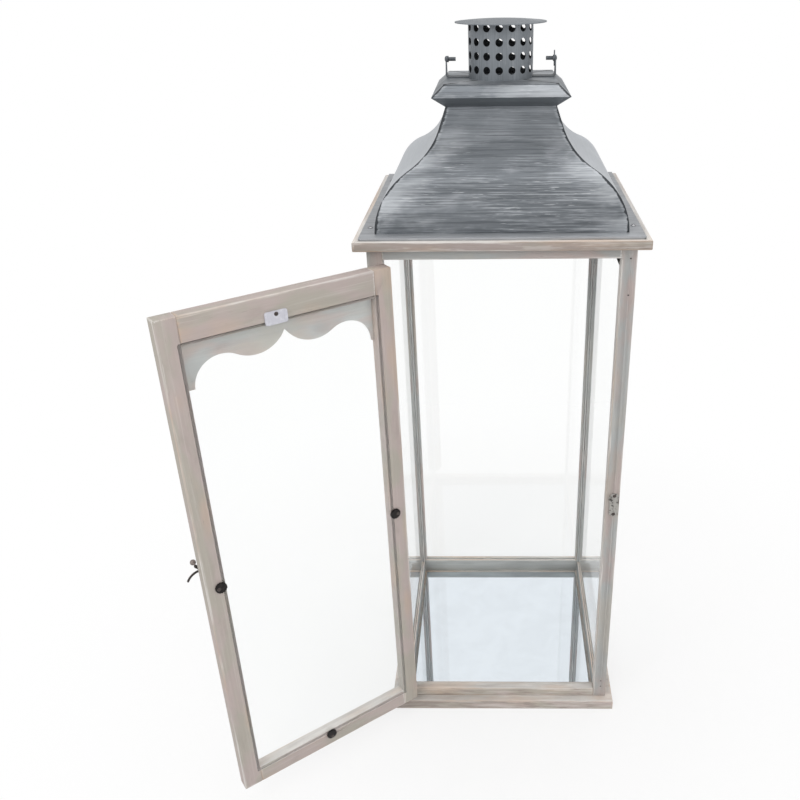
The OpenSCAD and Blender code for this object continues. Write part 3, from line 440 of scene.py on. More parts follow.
def fitting_group(name):
    """Small cast, plated or moulded fittings: a fine grain with rubbed spots."""
    floats = {"Rub Amount": 0.6, "Roughness": 0.4}
    tree, given, result = open_effect(name, ("Place",), ("Base", "Rub"), floats)
    grain = noise(tree, given["Place"], *GRAIN_NOISE)
    cloud = noise(tree, given["Place"], *CLOUD_NOISE)
    colour = layer(tree, given["Base"], cloud, 0.50, 0.62, given["Rub Amount"], given["Rub"])
    rough = plus(tree, given["Roughness"], times(tree, cloud, 0.25))
    feeds = {
        "Color": layer(tree, colour, grain, 0.45, 0.25, 0.4, GRIME),
        "Roughness": minus(tree, rough, 0.1, True),
        "Height": grain,
    }
    feed(tree, result, feeds)
    return tree


# ------------ materials


def attribute(tree, name, output="Vector"):
    made = add(tree, "ShaderNodeAttribute", attribute_type="GEOMETRY")
    made.attribute_name = name
    return made.outputs[output]


def object_place(tree):
    """A point's place in its object."""
    return add(tree, "ShaderNodeTexCoord").outputs["Object"]


def start_material(name):
    """A new node material and its Principled shader."""
    material = bpy.data.materials.new(name)
    material.use_nodes = True
    tree = material.node_tree
    return material, tree, tree.nodes["Principled BSDF"]


def finish_material(tree, shader, builder, name, feeds, depth, strength):
    """Feeds the shared group called name, built on first use, into the shader and its bump."""
    group = bpy.data.node_groups.get(name) or builder(name)
    effect = add(tree, "ShaderNodeGroup", feeds, node_tree=group).outputs
    relief = {"Distance": depth, "Strength": strength, "Height": effect["Height"]}
    bump = add(tree, "ShaderNodeBump", relief)
    surface = {
        "Base Color": effect["Color"],
        "Roughness": effect["Roughness"],
        "Normal": bump.outputs["Normal"],
    }
    feed(tree, shader, surface)
    return effect


# Each look has its wash, second wash, bare wood and shade, as a setting and a factor, then its
# streaks, the width of its worn edges and the strength of its bump.
BROWN_SHADE = ("shade", 1.0)
GREY_SHADE = ("cool", 0.62)
WOOD_LOOKS = {
    "smooth": (("wash", 0.94), ("tint", 0.95), ("bare", 0.95), BROWN_SHADE, 0.10, 2.4 * MM, 0.25),
    "plain": (("cool", 0.90), ("wash", 0.86), ("tint", 0.95), BROWN_SHADE, 0.14, 2.0 * MM, 0.30),
    "streaked": (("wash", 0.98), ("tint", 1.0), ("bare", 1.0), BROWN_SHADE, 1.20, 3.0 * MM, 0.45),
    "weathered": (("wash", 0.70), ("tint", 0.72), ("bare", 0.7), BROWN_SHADE, 1.05, 2.0 * MM, 0.45),
    # The grey look, kept for the inside faces, is the wood's own grey with a painted grey-green
    # cast of the glass. The pale look gives the beads and the valance that painted cast, paler.
    "grey": (("cool", 1.0), ("cool", 0.86), ("cool", 1.15), GREY_SHADE, 0.18, 2.4 * MM, 0.30),
    "pale": (("cool", 1.2), ("wash", 1.05), ("tint", 1.2), GREY_SHADE, 0.12, 2.0 * MM, 0.25),
    # The last row is painted light: a paler copy of the wash for faces that the lamps light more,
    # such as tops and lit inner sides.
    "ledge": (("chalk", 1.02), ("chalk", 0.86), ("bare", 1.2), BROWN_SHADE, 0.30, 2.0 * MM, 0.35),
}
WOOD_RELIEF = 0.6 * MM
SHEET_RELIEF = 0.3 * MM
FITTING_RELIEF = 0.2 * MM


def wood_material(look):
    """The whitewashed wood in one of its looks."""
    name = "Whitewashed wood, " + look
    if name in bpy.data.materials:
        return bpy.data.materials[name]
    settings = bpy.context.scene.lantern_wood
    *colours, streaks, wear, bump = WOOD_LOOKS[look]
    wash, second, bare, shade = (rgba(getattr(settings, key), share) for key, share in colours)
    material, tree, shader = start_material(name)
    shader.inputs["Specular IOR Level"].default_value = 0.35
    feeds = {
        "Grain": attribute(tree, "grain"),
        "Half": attribute(tree, "half"),
        "Seed": attribute(tree, "seed", "Fac"),
        "Wash": wash,
        "Second Wash": second,
        "Bare": bare,
        "Shade": shade,
        "Chalk": rgba(settings.chalk),
        "Streaks": streaks,
        "Wear": wear,
    }
    finish_material(tree, shader, wood_group, "Whitewashed Wood", feeds, WOOD_RELIEF, bump)
    return material


def sheet_material(name, base, streak, amount, metallic=0.55, seams=0.0, fade=0.0, painted_sheen=0.0):
    """Brushed sheet metal in its own colours, with a painted sheen, paler, where it is seen aslant.
    """
    if name in bpy.data.materials:
        return bpy.data.materials[name]
    material, tree, shader = start_material(name)
    shader.inputs["Metallic"].default_value = metallic
    feeds = {
        "Brush": attribute(tree, "grain"),
        "Place": object_place(tree),
        "Seed": attribute(tree, "seed", "Fac"),
        "Sheet": rgba(base),
        "Streak": rgba(streak),
        "Amount": amount,
        "Seams": seams,
        "Fade": fade,
    }
    effect = finish_material(
        tree, shader, sheet_group, "Brushed Sheet", feeds, SHEET_RELIEF, 0.35
    )
    # Painted sheen: the colour turns paler where the surface is seen aslant.
    if painted_sheen > 0.0:
        slant = add(tree, "ShaderNodeLayerWeight", {"Blend": 0.5}).outputs["Facing"]
        sheened_colour = layer(tree, effect["Color"], slant, 0.45, 0.85, painted_sheen, rgba(streak, 1.5))
        link(tree, sheened_colour, shader.inputs["Base Color"])
    return material


def fitting_material(name, base, rub, rough, metallic=0.0, amount=0.6, sheen=0.5):
    """Small hardware: grained and rubbed."""
    if name in bpy.data.materials:
        return bpy.data.materials[name]
    material, tree, shader = start_material(name)
    shader.inputs["Specular IOR Level"].default_value = sheen
    shader.inputs["Metallic"].default_value = metallic
    feeds = {
        "Place": object_place(tree),
        "Base": rgba(base),
        "Rub": rgba(rub),
        "Rub Amount": amount,
        "Roughness": rough,
    }
    finish_material(tree, shader, fitting_group, "Rubbed Fitting", feeds, FITTING_RELIEF, 0.3)
    return material


def plain_steel():
    """The plain steel of the hinges and their screws."""
    steel = bpy.context.scene.lantern_metal.steel
    return fitting_material("Plain steel", steel, rgba(steel, 1.3), 0.35, 0.7)


def mixed_shaders(tree, factor, first, second):
    """Sends a mix of two shaders to the material's output."""
    blend = add(tree, "ShaderNodeMixShader", {0: factor, 1: first, 2: second})
    link(tree, blend.outputs["Shader"], tree.nodes["Material Output"].inputs["Surface"])


def glass_material():
    """Clear window glass with faint smears; shadow rays pass straight through."""
    name = "Window glass"
    if name in bpy.data.materials:
        return bpy.data.materials[name]
    material, tree, shader = start_material(name)
    tint = bpy.context.scene.lantern_glass.tint
    smear = noise(tree, object_place(tree), (14.0, 14.0, 9.0), 4.0, 0.6, 0.6)
    feeds = {
        "Base Color": mix(tree, band(tree, smear, 0.4, 0.7), rgba(tint), rgba(tint, 0.996)),
        "Roughness": times(tree, band(tree, smear, 0.55, 0.8), 0.02),
        "IOR": 1.5,
        "Transmission Weight": 1.0,
    }
    feed(tree, shader, feeds)
    clear = add(tree, "ShaderNodeBsdfTransparent", {"Color": rgba(tint)})
    shadow = add(tree, "ShaderNodeLightPath").outputs["Is Shadow Ray"]
    mixed_shaders(tree, shadow, shader.outputs["BSDF"], clear.outputs["BSDF"])
    return material


def mirror_material():
    """Silvered glass with a faint blue tint, smears and dust."""
    material, tree, shader = start_material("Mirror glass")
    tint = bpy.context.scene.lantern_glass.mirror
    smear = noise(tree, object_place(tree), (22.0, 22.0, 22.0), 5.0, 0.6, 0.5)
    dust = noise(tree, object_place(tree), (1800.0, 1800.0, 1800.0), 2.0, 0.5)
    smeared = times(tree, band(tree, smear, 0.5, 0.8), 0.03)
    dusty = times(tree, band(tree, dust, 0.72, 0.8), 0.08)
    feeds = {
        "Base Color": mix(tree, band(tree, smear, 0.35, 0.7), rgba(tint), rgba(tint, 0.96)),
        "Roughness": plus(tree, smeared, dusty),
        "Metallic": 1.0,
    }
    feed(tree, shader, feeds)
    return material


# ------------ mesh helpers

# Angles between faces, in degrees: up to FLAT_ANGLE they are merged, over BEVEL_ANGLE their
# edge is rounded, and over the others it stays sharp in the shading.
FLAT_ANGLE = 0.6
BEVEL_ANGLE = 40.0
SMOOTH_ANGLE = 35.0
SHEET_SMOOTH_ANGLE = 30.0
SCREW_SMOOTH_ANGLE = 40.0
WELD_DISTANCE = 1e-6
# Edges shorter than these aren't bevelled, on large pieces and on hardware.
LONG_EDGE = 6.0 * MM
SHORT_EDGE = 2.0 * MM


def new_object(name, data):
    made = bpy.data.objects.new(name, data)
    bpy.context.scene.collection.objects.link(made)
    return made


def cad_mesh(node):
    """A bmesh of a CAD node with its loose triangles joined and its flat faces whole."""
    work = bmesh.new()
    work.from_mesh(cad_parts[node].data)
    bmesh.ops.remove_doubles(work, verts=work.verts, dist=WELD_DISTANCE)
    bmesh.ops.dissolve_limit(
        work,
        angle_limit=math.radians(FLAT_ANGLE),
        use_dissolve_boundaries=False,
        verts=work.verts,
        edges=work.edges,
        delimit={"NORMAL"},
    )
    bmesh.ops.recalc_face_normals(work, faces=work.faces)
    return work


def round_edges(work, width, steps, least):
    """Bevels the sharp straight edges that are longer than least."""
    sharp = [
        edge
        for edge in work.edges
        if edge.is_manifold
        and edge.calc_length() > least
        and edge.calc_face_angle(0.0) > math.radians(BEVEL_ANGLE)
    ]
    if sharp:
        bmesh.ops.bevel(
            work,
            geom=sharp,
            offset=width,
            segments=steps,
            profile=0.5,
            affect="EDGES",
            clamp_overlap=True,
        )


def shade_smooth(mesh, angle):
    """Smooth shading, with the edges over angle degrees left sharp."""
    for face in mesh.polygons:
        face.use_smooth = True
    mesh.set_sharp_from_angle(angle=math.radians(angle))


def shaped(node, width=None, steps=2, least=LONG_EDGE, smooth_angle=SMOOTH_ANGLE):
    """The object that shows a CAD node, with its edges rounded where there is a width."""
    work = cad_mesh(node)
    if width:
        round_edges(work, width, steps, least)
    bmesh.ops.recalc_face_normals(work, faces=work.faces)
    name = node + "_look"
    mesh = bpy.data.meshes.new(name)
    work.to_mesh(mesh)
    work.free()
    shade_smooth(mesh, smooth_angle)
    return new_object(name, mesh)


def write_points(mesh, name, kind, field, values):
    """Stores a value for each of a mesh's points."""
    mesh.attributes.new(name, kind, "POINT").data.foreach_set(field, values)


def write_grain(piece, axes, seed):
    """Stores each point's place along and across the piece, the piece's half size and its seed."""
    mesh = piece.data
    local = [tuple(v.co.dot(axis) for axis in axes) for v in mesh.vertices]
    lows = [min(p[i] for p in local) for i in range(3)]
    highs = [max(p[i] for p in local) for i in range(3)]
    middle = [(low + high) / 2 for low, high in zip(lows, highs)]
    half = [(high - low) / 2 for low, high in zip(lows, highs)]
    grain = [p[i] - middle[i] for p in local for i in range(3)]
    write_points(mesh, "grain", "FLOAT_VECTOR", "vector", grain)
    write_points(mesh, "half", "FLOAT_VECTOR", "vector", half * len(local))
    write_points(mesh, "seed", "FLOAT", "value", [seed] * len(local))


def place_piece(piece, body, node, material):
    """Gives a finished piece its material and its body, and hides the CAD node that it stands for.
    """
    piece.data.materials.clear()
    piece.data.materials.append(material)
    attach(piece, body)
    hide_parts(node)
    return piece


def repaint(piece, material, chosen):
    """Gives the faces that chosen picks another material."""
    piece.data.materials.append(material)
    index = len(piece.data.materials) - 1
    for face in piece.data.polygons:
        if chosen(face):
            face.material_index = index


def fittings(pieces, width, steps=2, least=SHORT_EDGE):
    """Hardware with lightly rounded edges; pieces has each one's node, body and material."""
    for node, body, material in pieces:
        place_piece(shaped(node, width, steps, least), body, node, material)


# The direction of the grain and the two across it.
GRAIN_AXES = {
    "x": (AXIS_X, AXIS_Y, AXIS_Z),
    "y": (AXIS_Y, AXIS_X, AXIS_Z),
    "z": (AXIS_Z, AXIS_X, AXIS_Y),
    "door_x": (DOOR_ALONG, DOOR_INTO, AXIS_Z),
    "door_z": (AXIS_Z, DOOR_ALONG, DOOR_INTO),
}
SIDES_ALONG = {"front": "x", "back": "x", "left": "y", "right": "y"}
# Faces further out than this look away from the lantern's middle.
OUTER_REACH = 0.09
# Faces whose normal leans further than this towards the lit way get the painted light.
LIT_FACE_SLOPE = 0.7
# Upward parts of a face's normal: at least LEVEL on a level face, below UNDERSIDE on a sheet's
# underside.
LEVEL = 0.9
UNDERSIDE = -0.2
THIN_EDGE = 0.4 * MM
SILL_EDGE = 2.2 * MM
PANE_EDGE = 0.3 * MM
MIRROR_EDGE = 0.5 * MM
SHEET_EDGE = 0.5 * MM


def is_outside(face):
    """Whether a face of the lantern's frame looks away from its middle."""
    return max(face.center.x * face.normal.x, face.center.y * face.normal.y) > OUTER_REACH


def wooden(node, body, along, seed, look="plain", width=None, ledge=None):
    """A wooden piece: the CAD shape with rounded edges and a grain, with painted light, a paler
    wash, on the faces turned the given lit way.
    """
    piece = shaped(node, width or bpy.context.scene.lantern_wood.edge)
    write_grain(piece, GRAIN_AXES[along], seed)
    place_piece(piece, body, node, wood_material(look))
    # Painted cast: the grey look stays on the inside faces, and the faces that look out get the
    # plain look.
    if look == "grey":
        repaint(piece, wood_material("plain"), is_outside)
    # Painted light: faces turned the lit way get a paler copy of the wash, as if the lamps lit them
    # more.
    if ledge:
        repaint(piece, wood_material("ledge"), lambda face: face.normal.dot(ledge) > LIT_FACE_SLOPE)


def sheet_piece(node, axes, seed, material, width=None, smooth_angle=SHEET_SMOOTH_ANGLE):
    """A sheet metal piece, brushed along the first of axes."""
    piece = shaped(node, width, smooth_angle=smooth_angle)
    write_grain(piece, axes, seed)
    return place_piece(piece, BODY, node, material)


# ------------ screws by geometry nodes

SCREW_LENGTHS = {
    "Head Radius": 2.4 * MM,
    "Head Height": 1.2 * MM,
    "Shank Radius": 1.1 * MM,
    "Shank Depth": 9.0 * MM,
    "Recess Width": 0.7 * MM,
}
HEAD_SIDES = 28
HEAD_RINGS = 6
SHANK_SIDES = 16
# Shares of a head's height: the fall of its dome, and the height of the recess above its middle.
DOME_FALL = 0.72
RECESS_LIFT = 0.55
# Length of the recess as a share of the head's radius.
RECESS_LENGTH = 1.25


def raised(tree, geometry, amount):
    """Geometry moved up by amount."""
    feeds = {"Geometry": geometry, "Translation": joined(tree, {"Z": amount})}
    return add(tree, "GeometryNodeTransform", feeds).outputs["Geometry"]


def named_attribute(tree, name, kind):
    made = add(tree, "GeometryNodeInputNamedAttribute", {"Name": name}, data_type=kind)
    return made.outputs["Attribute"]


def screw_tree():
    """Puts a domed, cross-slotted screw on every point, turned to its facing and by its spin."""
    name = "Cross Slotted Screws"
    if name in bpy.data.node_groups:
        return bpy.data.node_groups[name]
    geometry = ("Geometry", "NodeSocketGeometry")
    inputs = [(*geometry, None)]
    inputs += [(label, FLOAT, length) for label, length in SCREW_LENGTHS.items()]
    inputs.append(("Material", "NodeSocketMaterial", None))
    tree, given, result = open_group(name, "GeometryNodeTree", inputs, [geometry])
    radius, height, depth = given["Head Radius"], given["Head Height"], given["Shank Depth"]

    sizes = {
        "Vertices": HEAD_SIDES,
        "Side Segments": 1,
        "Fill Segments": HEAD_RINGS,
        "Radius": radius,
        "Depth": height,
    }
    head = add(tree, "GeometryNodeMeshCylinder", sizes)
    place = split(tree, add(tree, "GeometryNodeInputPosition").outputs[0])
    flat = joined(tree, {"X": place["X"], "Y": place["Y"]})
    share = calc(tree, "DIVIDE", vector_calc(tree, "LENGTH", flat, output="Value"), radius)
    fall = times(tree, times(tree, times(tree, share, share), height), -DOME_FALL)
    upper = add(
        tree, "FunctionNodeCompare", {0: place["Z"]}, data_type="FLOAT", operation="GREATER_THAN"
    )
    doming = {
        "Geometry": head.outputs["Mesh"],
        "Selection": upper.outputs["Result"],
        "Offset": joined(tree, {"Z": fall}),
    }
    dome = add(tree, "GeometryNodeSetPosition", doming)

    solid = {"Mesh 1": dome.outputs["Geometry"]}
    cut = add(tree, "GeometryNodeMeshBoolean", solid, operation="DIFFERENCE", solver="EXACT")
    for turn in range(2):
        length = times(tree, radius, RECESS_LENGTH)
        size = joined(tree, {turn: length, 1 - turn: given["Recess Width"], 2: height})
        bar = add(tree, "GeometryNodeMeshCube", {"Size": size}).outputs["Mesh"]
        lifted = raised(tree, bar, times(tree, height, RECESS_LIFT))
        link(tree, lifted, cut.inputs["Mesh 2"])
    seated = raised(tree, cut.outputs["Mesh"], times(tree, height, -0.5))

    sizes = {"Vertices": SHANK_SIDES, "Radius": given["Shank Radius"], "Depth": depth}
    shank = add(tree, "GeometryNodeMeshCylinder", sizes).outputs["Mesh"]
    drop = plus(tree, height, times(tree, depth, 0.5))
    screw = add(tree, "GeometryNodeJoinGeometry")
    link(tree, seated, screw.inputs["Geometry"])
    link(tree, raised(tree, shank, times(tree, drop, -1.0)), screw.inputs["Geometry"])

    facing = {"Vector": named_attribute(tree, "facing", "FLOAT_VECTOR")}
    align = add(tree, "FunctionNodeAlignRotationToVector", facing, axis="Z")
    spin = {"Axis": AXIS_Z, "Angle": named_attribute(tree, "spin", "FLOAT")}
    about = add(tree, "FunctionNodeAxisAngleToRotation", spin).outputs["Rotation"]
    turns = {"Rotation": align.outputs["Rotation"], "Rotate By": about}
    turned = add(tree, "FunctionNodeRotateRotation", turns, rotation_space="LOCAL")
    places = {
        "Points": given["Geometry"],
        "Instance": screw.outputs["Geometry"],
        "Rotation": turned.outputs["Rotation"],
    }
    put = add(tree, "GeometryNodeInstanceOnPoints", places).outputs["Instances"]
    real = add(tree, "GeometryNodeRealizeInstances", {"Geometry": put}).outputs["Geometry"]
    painting = {"Geometry": real, "Material": given["Material"]}
    paint = add(tree, "GeometryNodeSetMaterial", painting)
    link(tree, paint.outputs["Geometry"], result.inputs["Geometry"])
    return tree


def run_tree(name, places, facing, spins, tree, values):
    """Runs a geometry node tree on points and returns its plain mesh as an object."""
    points = bpy.data.meshes.new(name + "_points")
    points.from_pydata([tuple(place) for place in places], [], [])
    write_points(points, "facing", "FLOAT_VECTOR", "vector", [*facing] * len(places))
    write_points(points, "spin", "FLOAT", "value", spins)
    holder = new_object(name + "_holder", points)
    modifier = holder.modifiers.new("Shape", "NODES")
    modifier.node_group = tree
    for item in tree.interface.items_tree:
        if item.item_type == "SOCKET" and item.in_out == "INPUT" and item.name in values:
            modifier[item.identifier] = values[item.name]
    view = bpy.context.evaluated_depsgraph_get()
    view.update()
    mesh = bpy.data.meshes.new_from_object(holder.evaluated_get(view))
    bpy.data.objects.remove(holder)
    mesh.name = name
    for attribute_name in ("facing", "spin"):
        if attribute_name in mesh.attributes:
            mesh.attributes.remove(mesh.attributes[attribute_name])
    shade_smooth(mesh, SCREW_SMOOTH_ANGLE)
    return new_object(name, mesh)


def mean_place(points):
    """Mean height, X and Y of a solid's points, rounded to a hundredth of a millimetre."""
    return tuple(round(sum(p[i] for p in points) / len(points), 5) for i in (2, 0, 1))


def loose_parts(node):
    """The points of each separate solid of a node, in a steady order."""
    work = cad_mesh(node)
    seen = set()
    solids = []
    for start in work.verts:
        if start in seen:
            continue
        todo, points = [start], []
        seen.add(start)
        while todo:
            vert = todo.pop()
            points.append(vert.co.copy())
            for edge in vert.link_edges:
                other = edge.other_vert(vert)
                if other not in seen:
                    seen.add(other)
                    todo.append(other)
        solids.append(points)
    work.free()
    return sorted(solids, key=mean_place)


def extent(points, axis):
    """Lowest and highest place of points along axis."""
    along = [p.dot(axis) for p in points]
    return min(along), max(along)


def screw_places(node, facing):
    """Where each screw's head sits, with its radius and the screw's whole length."""
    side_a = facing.orthogonal().normalized()
    side_b = facing.cross(side_a)
    places = []
    for points in loose_parts(node):
        bottom, top = extent(points, facing)
        low_a, high_a = extent(points, side_a)
        low_b, high_b = extent(points, side_b)
        centre = side_a * ((high_a + low_a) / 2) + side_b * ((high_b + low_b) / 2)
        places.append((centre + facing * top, (high_a - low_a) / 2, top - bottom))
    return places


def screws(node, body, facing, head_height, shank_radius, material, seed):
    """One piece with every screw of a CAD node, in the node's places and all of one size."""
    draw = random.Random(seed)
    found = screw_places(node, facing)
    spins = [draw.uniform(0.0, math.pi) for _ in found]
    _, radius, length = found[-1]
    values = {
        "Head Radius": radius,
        "Head Height": head_height,
        "Shank Radius": shank_radius,
        "Shank Depth": length - head_height,
        "Recess Width": radius * bpy.context.scene.lantern_screws.slot_share,
        "Material": material,
    }
    places = [place for place, _, _ in found]
    piece = run_tree(node + "_look", places, facing, spins, screw_tree(), values)
    place_piece(piece, body, node, material)


# ------------ operators


class LanternOperator:
    """What the lantern's operators share."""

    bl_options = {"REGISTER", "UNDO"}


class LANTERN_OT_base(LanternOperator, bpy.types.Operator):
    """Makes the base board and the sill under the door"""

    bl_idname = "lantern.base"
    bl_label = "Base Board and Sill"

    def execute(self, context):
        # The tops of the base board and the sill get painted light.
        wooden("base_board", BODY, "x", 1.0, "streaked", ledge=AXIS_Z)
        wooden("door_sill", BODY, "x", 2.3, "streaked", SILL_EDGE, AXIS_Z)
        return {"FINISHED"}


class LANTERN_OT_posts(LanternOperator, bpy.types.Operator):
    """Makes the four posts"""

    bl_idname = "lantern.posts"
    bl_label = "Posts"

    def execute(self, context):
        # Post, look, and the way that its inner face looks, where that face gets painted light from
        # a paler wash.
        rows = (
            ("front_left", "plain", AXIS_X),
            ("front_right", "plain", -AXIS_X),
            ("back_left", "grey", None),
            ("back_right", "grey", None),
        )
        for index, (side, look, inward) in enumerate(rows):
            wooden("post_" + side, BODY, "z", 4.1 + index * 1.7, look, ledge=inward)
        return {"FINISHED"}


class LANTERN_OT_rails(LanternOperator, bpy.types.Operator):
    """Makes the rails between the posts and the beads beside the back pane"""

    bl_idname = "lantern.rails"
    bl_label = "Rails and Beads"

    def execute(self, context):
        for index, (side, along) in enumerate(SIDES_ALONG.items()):
            wooden("top_rail_" + side, BODY, along, 11.3 + index, "grey")
            if side != "front":
                node = "bottom_rail_" + side
                # The bottom rails' tops get painted light.
                wooden(node, BODY, along, 17.9 + index, "grey", ledge=AXIS_Z)
        # The beads' pale look holds a painted grey-green cast of the glass.
        wooden("glazing_beads", BODY, "z", 23.0, "pale", THIN_EDGE)
        return {"FINISHED"}


class LANTERN_OT_top_boards(LanternOperator, bpy.types.Operator):
    """Makes the four mitred top boards"""

    bl_idname = "lantern.top_boards"
    bl_label = "Top Boards"

    def execute(self, context):
        for index, (side, along) in enumerate(SIDES_ALONG.items()):
            node = "top_board_" + side
            # The top boards' upper faces get painted light.
            wooden(node, BODY, along, 31.7 + index * 2.2, "weathered", ledge=AXIS_Z)
        return {"FINISHED"}


class LANTERN_OT_panes(LanternOperator, bpy.types.Operator):
    """Makes the three window panes and the door glass"""

    bl_idname = "lantern.panes"
    bl_label = "Glass Panes"

    def execute(self, context):
        bodies = {"glass_left": BODY, "glass_right": BODY, "glass_back": BODY, "door_glass": DOOR}
        for node, body in bodies.items():
            pane = shaped(node, PANE_EDGE, 1, smooth_angle=SHEET_SMOOTH_ANGLE)
            place_piece(pane, body, node, glass_material())
        return {"FINISHED"}


class LANTERN_OT_floor_mirror(LanternOperator, bpy.types.Operator):
    """Makes the mirror on the floor"""

    bl_idname = "lantern.floor_mirror"
    bl_label = "Mirror Floor"

    def execute(self, context):
        mirror = shaped("floor_mirror", MIRROR_EDGE, 1, smooth_angle=SHEET_SMOOTH_ANGLE)
        place_piece(mirror, BODY, "floor_mirror", mirror_material())
        cut_edge = fitting_material("Cut edge", (0.62, 0.68, 0.66), (0.75, 0.79, 0.77), 0.3)
        repaint(mirror, cut_edge, lambda face: abs(face.normal.z) < LEVEL)
        return {"FINISHED"}


ROOF_AXES = (AXIS_X, AXIS_Z, AXIS_Y)
ROOF_SIDE_AXES = (AXIS_Y, AXIS_Z, AXIS_X)


class LANTERN_OT_roof(LanternOperator, bpy.types.Operator):
    """Makes the four curved roof panels, the coronet and the flat crown"""

    bl_idname = "lantern.roof"
    bl_label = "Roof Panels"

    def execute(self, context):
        metal = context.scene.lantern_metal
        sheet, streak = metal.sheet, metal.streak
        lighter = rgba(sheet, 1.25)
        streaked = sheet_material(
            "Brushed sheet, streaked", sheet, streak, 1.0, seams=1.0, fade=0.75
        )
        light = sheet_material("Brushed sheet, light", lighter, streak, 0.7, seams=1.0)
        # The side panels take a lighter, smoother copy of the sheet: painted light, with a painted
        # sheen where they are seen aslant.
        smooth = sheet_material(
            "Brushed sheet, smooth", lighter, streak, 0.5, 0.45, seams=0.6, fade=0.5, painted_sheen=0.6
        )
        # A darker copy of the sheet, used as painted shade on undersides.
        shaded = sheet_material("Brushed sheet, shaded", rgba(sheet, 1.15), rgba(sheet, 1.5), 0.4)
        for index, (side, along) in enumerate(SIDES_ALONG.items()):
            axes, material = (ROOF_AXES, streaked) if along == "x" else (ROOF_SIDE_AXES, smooth)
            sheet_piece("roof_panel_" + side, axes, 3.0 + index * 1.3, material)
        for index, node in enumerate(("coronet", "crown_plate")):
            piece = sheet_piece(node, ROOF_AXES, 12.0 + index, light, SHEET_EDGE)
            # Painted shade: faces that look down get the darker copy of the sheet.
            repaint(piece, shaded, lambda face: face.normal.z < UNDERSIDE)
        return {"FINISHED"}


class LANTERN_OT_flange(LanternOperator, bpy.types.Operator):
    """Makes the flange that the roof stands on"""

    bl_idname = "lantern.flange"
    bl_label = "Roof Flange"

    def execute(self, context):
        metal = context.scene.lantern_metal
        pale = sheet_material("Pale sheet", rgba(metal.pale, 1.20), metal.streak, 0.7)
        sheet_piece("roof_flange", ROOF_AXES, 21.0, pale, SHEET_EDGE)
        return {"FINISHED"}


def looks_down(face):
    return face.normal.z < -LEVEL


def inside_chimney(face):
    """Whether a face of the chimney's tube looks inwards or straight down."""
    outward = Vector((face.center.x, face.center.y, 0.0))
    return face.normal.dot(outward) < 0.0 or looks_down(face)


class LANTERN_OT_chimney(LanternOperator, bpy.types.Operator):
    """Makes the perforated chimney tube and its domed cap"""

    bl_idname = "lantern.chimney"
    bl_label = "Chimney"

    def execute(self, context):
        metal = context.scene.lantern_metal
        colours = (rgba(metal.sheet, 1.3), rgba(metal.streak, 0.8))
        tube_metal = sheet_material("Chimney sheet", *colours, 0.35)
        inside_shade = fitting_material(
            "Chimney inside", (0.018, 0.021, 0.025), (0.03, 0.034, 0.04), 0.7
        )
        # Painted shade: the tube's inner faces and every face looking straight down are near black.
        hidden = {"chimney_tube": inside_chimney, "chimney_cap": looks_down}
        for index, (node, chosen) in enumerate(hidden.items()):
            piece = sheet_piece(
                node, GRAIN_AXES["z"], 41.0 + index, tube_metal, smooth_angle=SMOOTH_ANGLE
            )
            repaint(piece, inside_shade, chosen)
        return {"FINISHED"}


class LANTERN_OT_handle_strap(LanternOperator, bpy.types.Operator):
    """Makes the strap with its two ears, the handle bolts and the wing nuts"""

    bl_idname = "lantern.handle_strap"
    bl_label = "Handle Strap and Bolts"

    def execute(self, context):
        sheet = context.scene.lantern_metal.sheet
        dull = fitting_material("Dull dark steel", rgba(sheet, 0.75), sheet, 0.45, 0.6)
        nodes = ("handle_strap", "handle_bolt_left", "handle_bolt_right", "handle_wing_nuts")
        fittings([(node, BODY, dull) for node in nodes], 0.25 * MM)
        return {"FINISHED"}


class LANTERN_OT_door_frame(LanternOperator, bpy.types.Operator):
    """Makes the door's stiles and rails and its scalloped valance"""

    bl_idname = "lantern.door_frame"
    bl_label = "Door Frame and Valance"

    def execute(self, context):
        # The free stile's inner side and the bottom rail's top get painted light.
        wooden("door_hinge_stile", DOOR, "door_z", 51.0, "smooth")
        wooden("door_free_stile", DOOR, "door_z", 53.4, "smooth", ledge=-DOOR_ALONG)
        wooden("door_top_rail", DOOR, "door_x", 55.1, "smooth")
        wooden("door_bottom_rail", DOOR, "door_x", 57.2, "smooth", ledge=AXIS_Z)
        # The valance's pale look holds a painted grey-green cast of the glass that it is seen
        # through.
        wooden("door_valance", DOOR, "door_x", 59.6, "pale", THIN_EDGE)
        return {"FINISHED"}


class LANTERN_OT_glass_holders(LanternOperator, bpy.types.Operator):
    """Makes the round buttons and the clip that hold the door glass, and the door stop"""

    bl_idname = "lantern.glass_holders"
    bl_label = "Glass Holders"

    def execute(self, context):
        black = fitting_material(
            "Black moulding", (0.014, 0.012, 0.012), (0.045, 0.036, 0.034), 0.5, sheen=0.2
        )
        pale = fitting_material("Pale clip", (0.60, 0.60, 0.66), (0.74, 0.74, 0.79), 0.4, 0.2)
        pieces = (
            ("glass_buttons", DOOR, black),
            ("glass_clip", DOOR, pale),
            ("door_stop", BODY, black),
        )
        fittings(pieces, 0.3 * MM)
        return {"FINISHED"}


class LANTERN_OT_hinges(LanternOperator, bpy.types.Operator):
    """Makes the leaves and pins of the two hinges"""

    bl_idname = "lantern.hinges"
    bl_label = "Hinges"

    def execute(self, context):
        bodies = {
            "hinge_frame_leaf_upper": BODY,
            "hinge_frame_leaf_lower": BODY,
            "hinge_pins": BODY,
            "hinge_door_leaf_upper": DOOR,
            "hinge_door_leaf_lower": DOOR,
        }
        steel = plain_steel()
        fittings([(node, body, steel) for node, body in bodies.items()], 0.2 * MM, 1)
        return {"FINISHED"}


